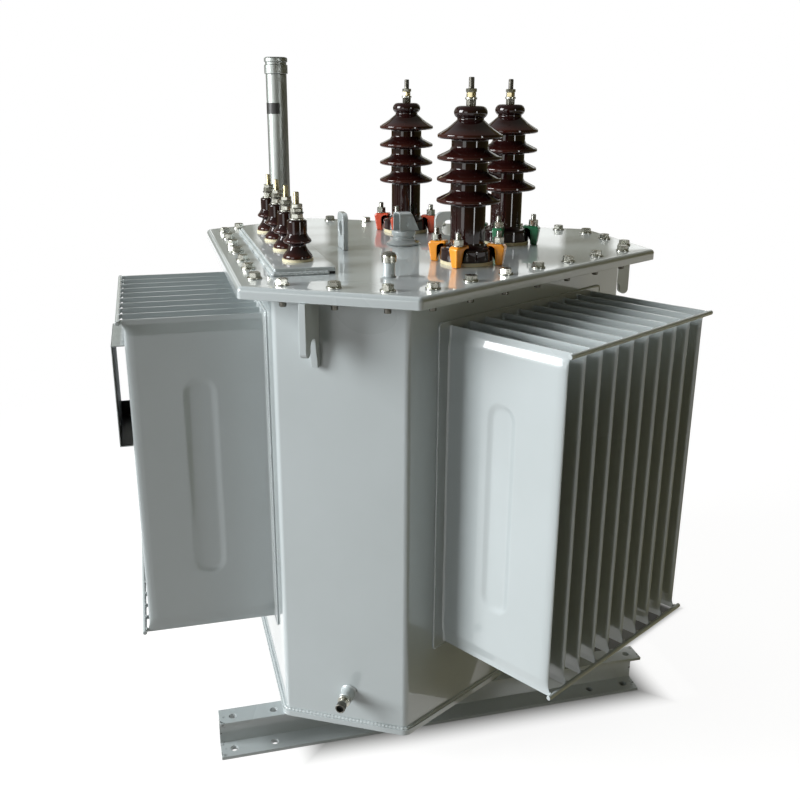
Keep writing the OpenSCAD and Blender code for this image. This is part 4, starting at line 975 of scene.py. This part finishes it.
def slab(low, high, r=0.8):
    """Box between two corners of (out, along, up) with its edges rounded."""
    outline = box_outline(low[1], low[2], high[1], high[2], r)
    return plate(outline, low[0], high[0], min(r, 0.45 * (high[0] - low[0])), 3)[..., [2, 0, 1]]


def on_bracket(parts):
    """Puts slabs at the bracket's corner in front of the left fins."""
    place = np.array([wall_distance(3) + BRACKET_OUT, BRACKET_NEAR, BRACKET_FOOT])
    return [on_face(part + place, 3) for part in parts]


make_piece("plate_bracket", on_bracket([
    slab((BRACKET_DEEP - 2, 0, 0), (BRACKET_DEEP, BRACKET_WIDE, BRACKET_HIGH)),
    slab((0.2, 0, 0), (BRACKET_DEEP, BRACKET_WIDE, 2)),
    slab((0.2, 0, BRACKET_HIGH - 2), (BRACKET_DEEP, BRACKET_WIDE, BRACKET_HIGH)),
    slab((0.2, 0, 0), (BRACKET_DEEP, 2, 32))]), ["nameplate_bracket"])
# The black lining is painted shade: it stands for the shadow inside the tray, not a finish of the sheet.
make_piece("bracket_painted_shade_lining", on_bracket([
    slab((20.2, 0.6, 2), (20.9, 167.6, 180), 0.3), slab((1, 2.1, 2), (20.9, 2.8, 32), 0.3),
    slab((1, 2, 2.1), (20.9, 167.6, 2.8), 0.3)]), (), BLACK)

# %% [markdown]
# ## Drain
# Oil is drawn off low on the front wall. A welded boss, a plated collar and a dark hollow cap are all turned parts on
# one axis that points out of the wall, so each is a profile carried round it. A black disc inside the cap is painted
# shade for the dark inside of its bore.

# %% Drain
drain_low, drain_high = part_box("drain_boss")
DRAIN = np.array([wall_distance(4), 8.0, (drain_low.z + drain_high.z) * 500])


def on_drain(profile, sides=40):
    """Turned part whose axis points out of the front wall."""
    return on_face(revolve(profile, sides=sides)[..., [2, 0, 1]] + DRAIN, 4)


boss = rounded([(0.5, 0.1), (17, 0.1, 1), (13, 3.5, 4), (12.4, 26, 5), (0.5, 26)], 6)
collar = rounded([(0.5, 26), (11.5, 26, 1), (11.5, 32, 1), (7, 32.2, 0.5), (7, 41, 0.4), (0.5, 41)], 4)
cap = rounded([(0.5, 41), (9, 41, 0.8), (9, 53, 1.2), (6.6, 53, 0.8), (6.4, 45, 0.4), (0.5, 45)], 4)
bore = rounded([(0.5, 45.1), (6.2, 45.1, 0.3), (6.2, 46, 0.3), (0.5, 46)], 3)
make_piece("drain_stub", [on_drain(boss)], ["drain_boss"])
make_piece("drain_collar", [on_drain(collar)], ["drain_nozzle"], ZINC)
make_piece("drain_cap", [on_drain(cap)], (), DARK_STEEL)
# The black disc is painted shade: it darkens the bore of the cap.
make_piece("drain_bore_painted_shade", [on_drain(bore)], (), BLACK)

# %% [markdown]
# ## Weld beads
# Hand welds run along the edges of the fin panels, round the foot of the tank and beside the low-voltage plate. A
# bead is a thin round bar along a path; its radius swells again and again, because the weld cools pool by pool.

# %% Weld beads
def bead(path, r, pitch, up):
    """Rings square to the path: radius is r times (0.85 + 0.3 |sin|) of the distance over the pitch of the pools."""
    length = np.linalg.norm(np.diff(path, axis=0), axis=1).sum()
    line = resample(path, int(length / pitch * 4))
    ahead = np.gradient(line, axis=0)
    ahead = ahead / np.linalg.norm(ahead, axis=1, keepdims=True)
    side = np.cross(ahead, up)
    side = side / np.linalg.norm(side, axis=1, keepdims=True)
    over = np.cross(side, ahead)
    swell = r * (0.85 + 0.3 * np.abs(np.sin(np.pi * np.arange(len(line)) / 4 + 0.4)))
    t = full_turn(6)[:, None, None]
    rings = line + swell[:, None] * (np.cos(t) * side + np.sin(t) * over)
    return rings.transpose(1, 0, 2)


beads = []
for face in BANKS.values():
    low, high = FIN_FOOT - PANEL_RIM, FIN_FOOT + FIN_HEIGHT + PANEL_RIM
    edge = rounded([(0, low), (PANEL_HALF, low, 6), (PANEL_HALF, high, 6), (-PANEL_HALF, high, 6),
                    (-PANEL_HALF, low, 6), (0, low)], 5)
    edge = np.column_stack([np.full(len(edge), wall_distance(face) + 1.2), edge])
    beads.append(bead(on_face(edge, face), 2.2, 6.0, on_face(np.array([1.0, 0, 0]), face)))
foot = tank_ring(1.0, 14)
foot = np.column_stack([np.concatenate([foot, foot[:1]]), np.full(len(foot) + 1, WALL_FOOT + 1.0)])
beads.append(bead(foot, 3.0, 7.0, np.array([0, 0, 1.0])))
rim = np.array([(LV_X + 40, -259.5), (LV_X - 53.5, -259.5), (LV_X - 53.5, 259.5), (LV_X + 40, 259.5)])
beads.append(bead(np.column_stack([rim, np.full(4, COVER_TOP + 2.5)]), 4.2, 9.0, np.array([0, 0, 1.0])))
make_piece("weld_beads", beads, crease=80)

# %% [markdown]
# ## Finishes of the remaining solids
# Rails, bottom plate, wall strips, flange, gaskets and seals already have the right shape, so they only take a
# finish.

# %% Finish the solids
SLOT_FINISH = {"grey_paint": GREY_SOLID, "cream_seal": SEAL, "black_gasket": GASKET, "zinc_plate": ZINC,
               "gauge_metal": ALUMINIUM, "brown_porcelain": PORCELAIN,
               **{CLAMP_SLOT[name]: paint for name, paint in CLAMP_PAINT.items()}}
for part in frame["record"]["subparts"]:
    node = frame["nodes"][part["node"]]
    node.data.materials.clear()
    node.data.materials.append(SLOT_FINISH[part["material_slot"]])
for rail in ("rail_front", "rail_back_side"):
    frame["nodes"][rail].data.materials[0] = GREY_RAILS
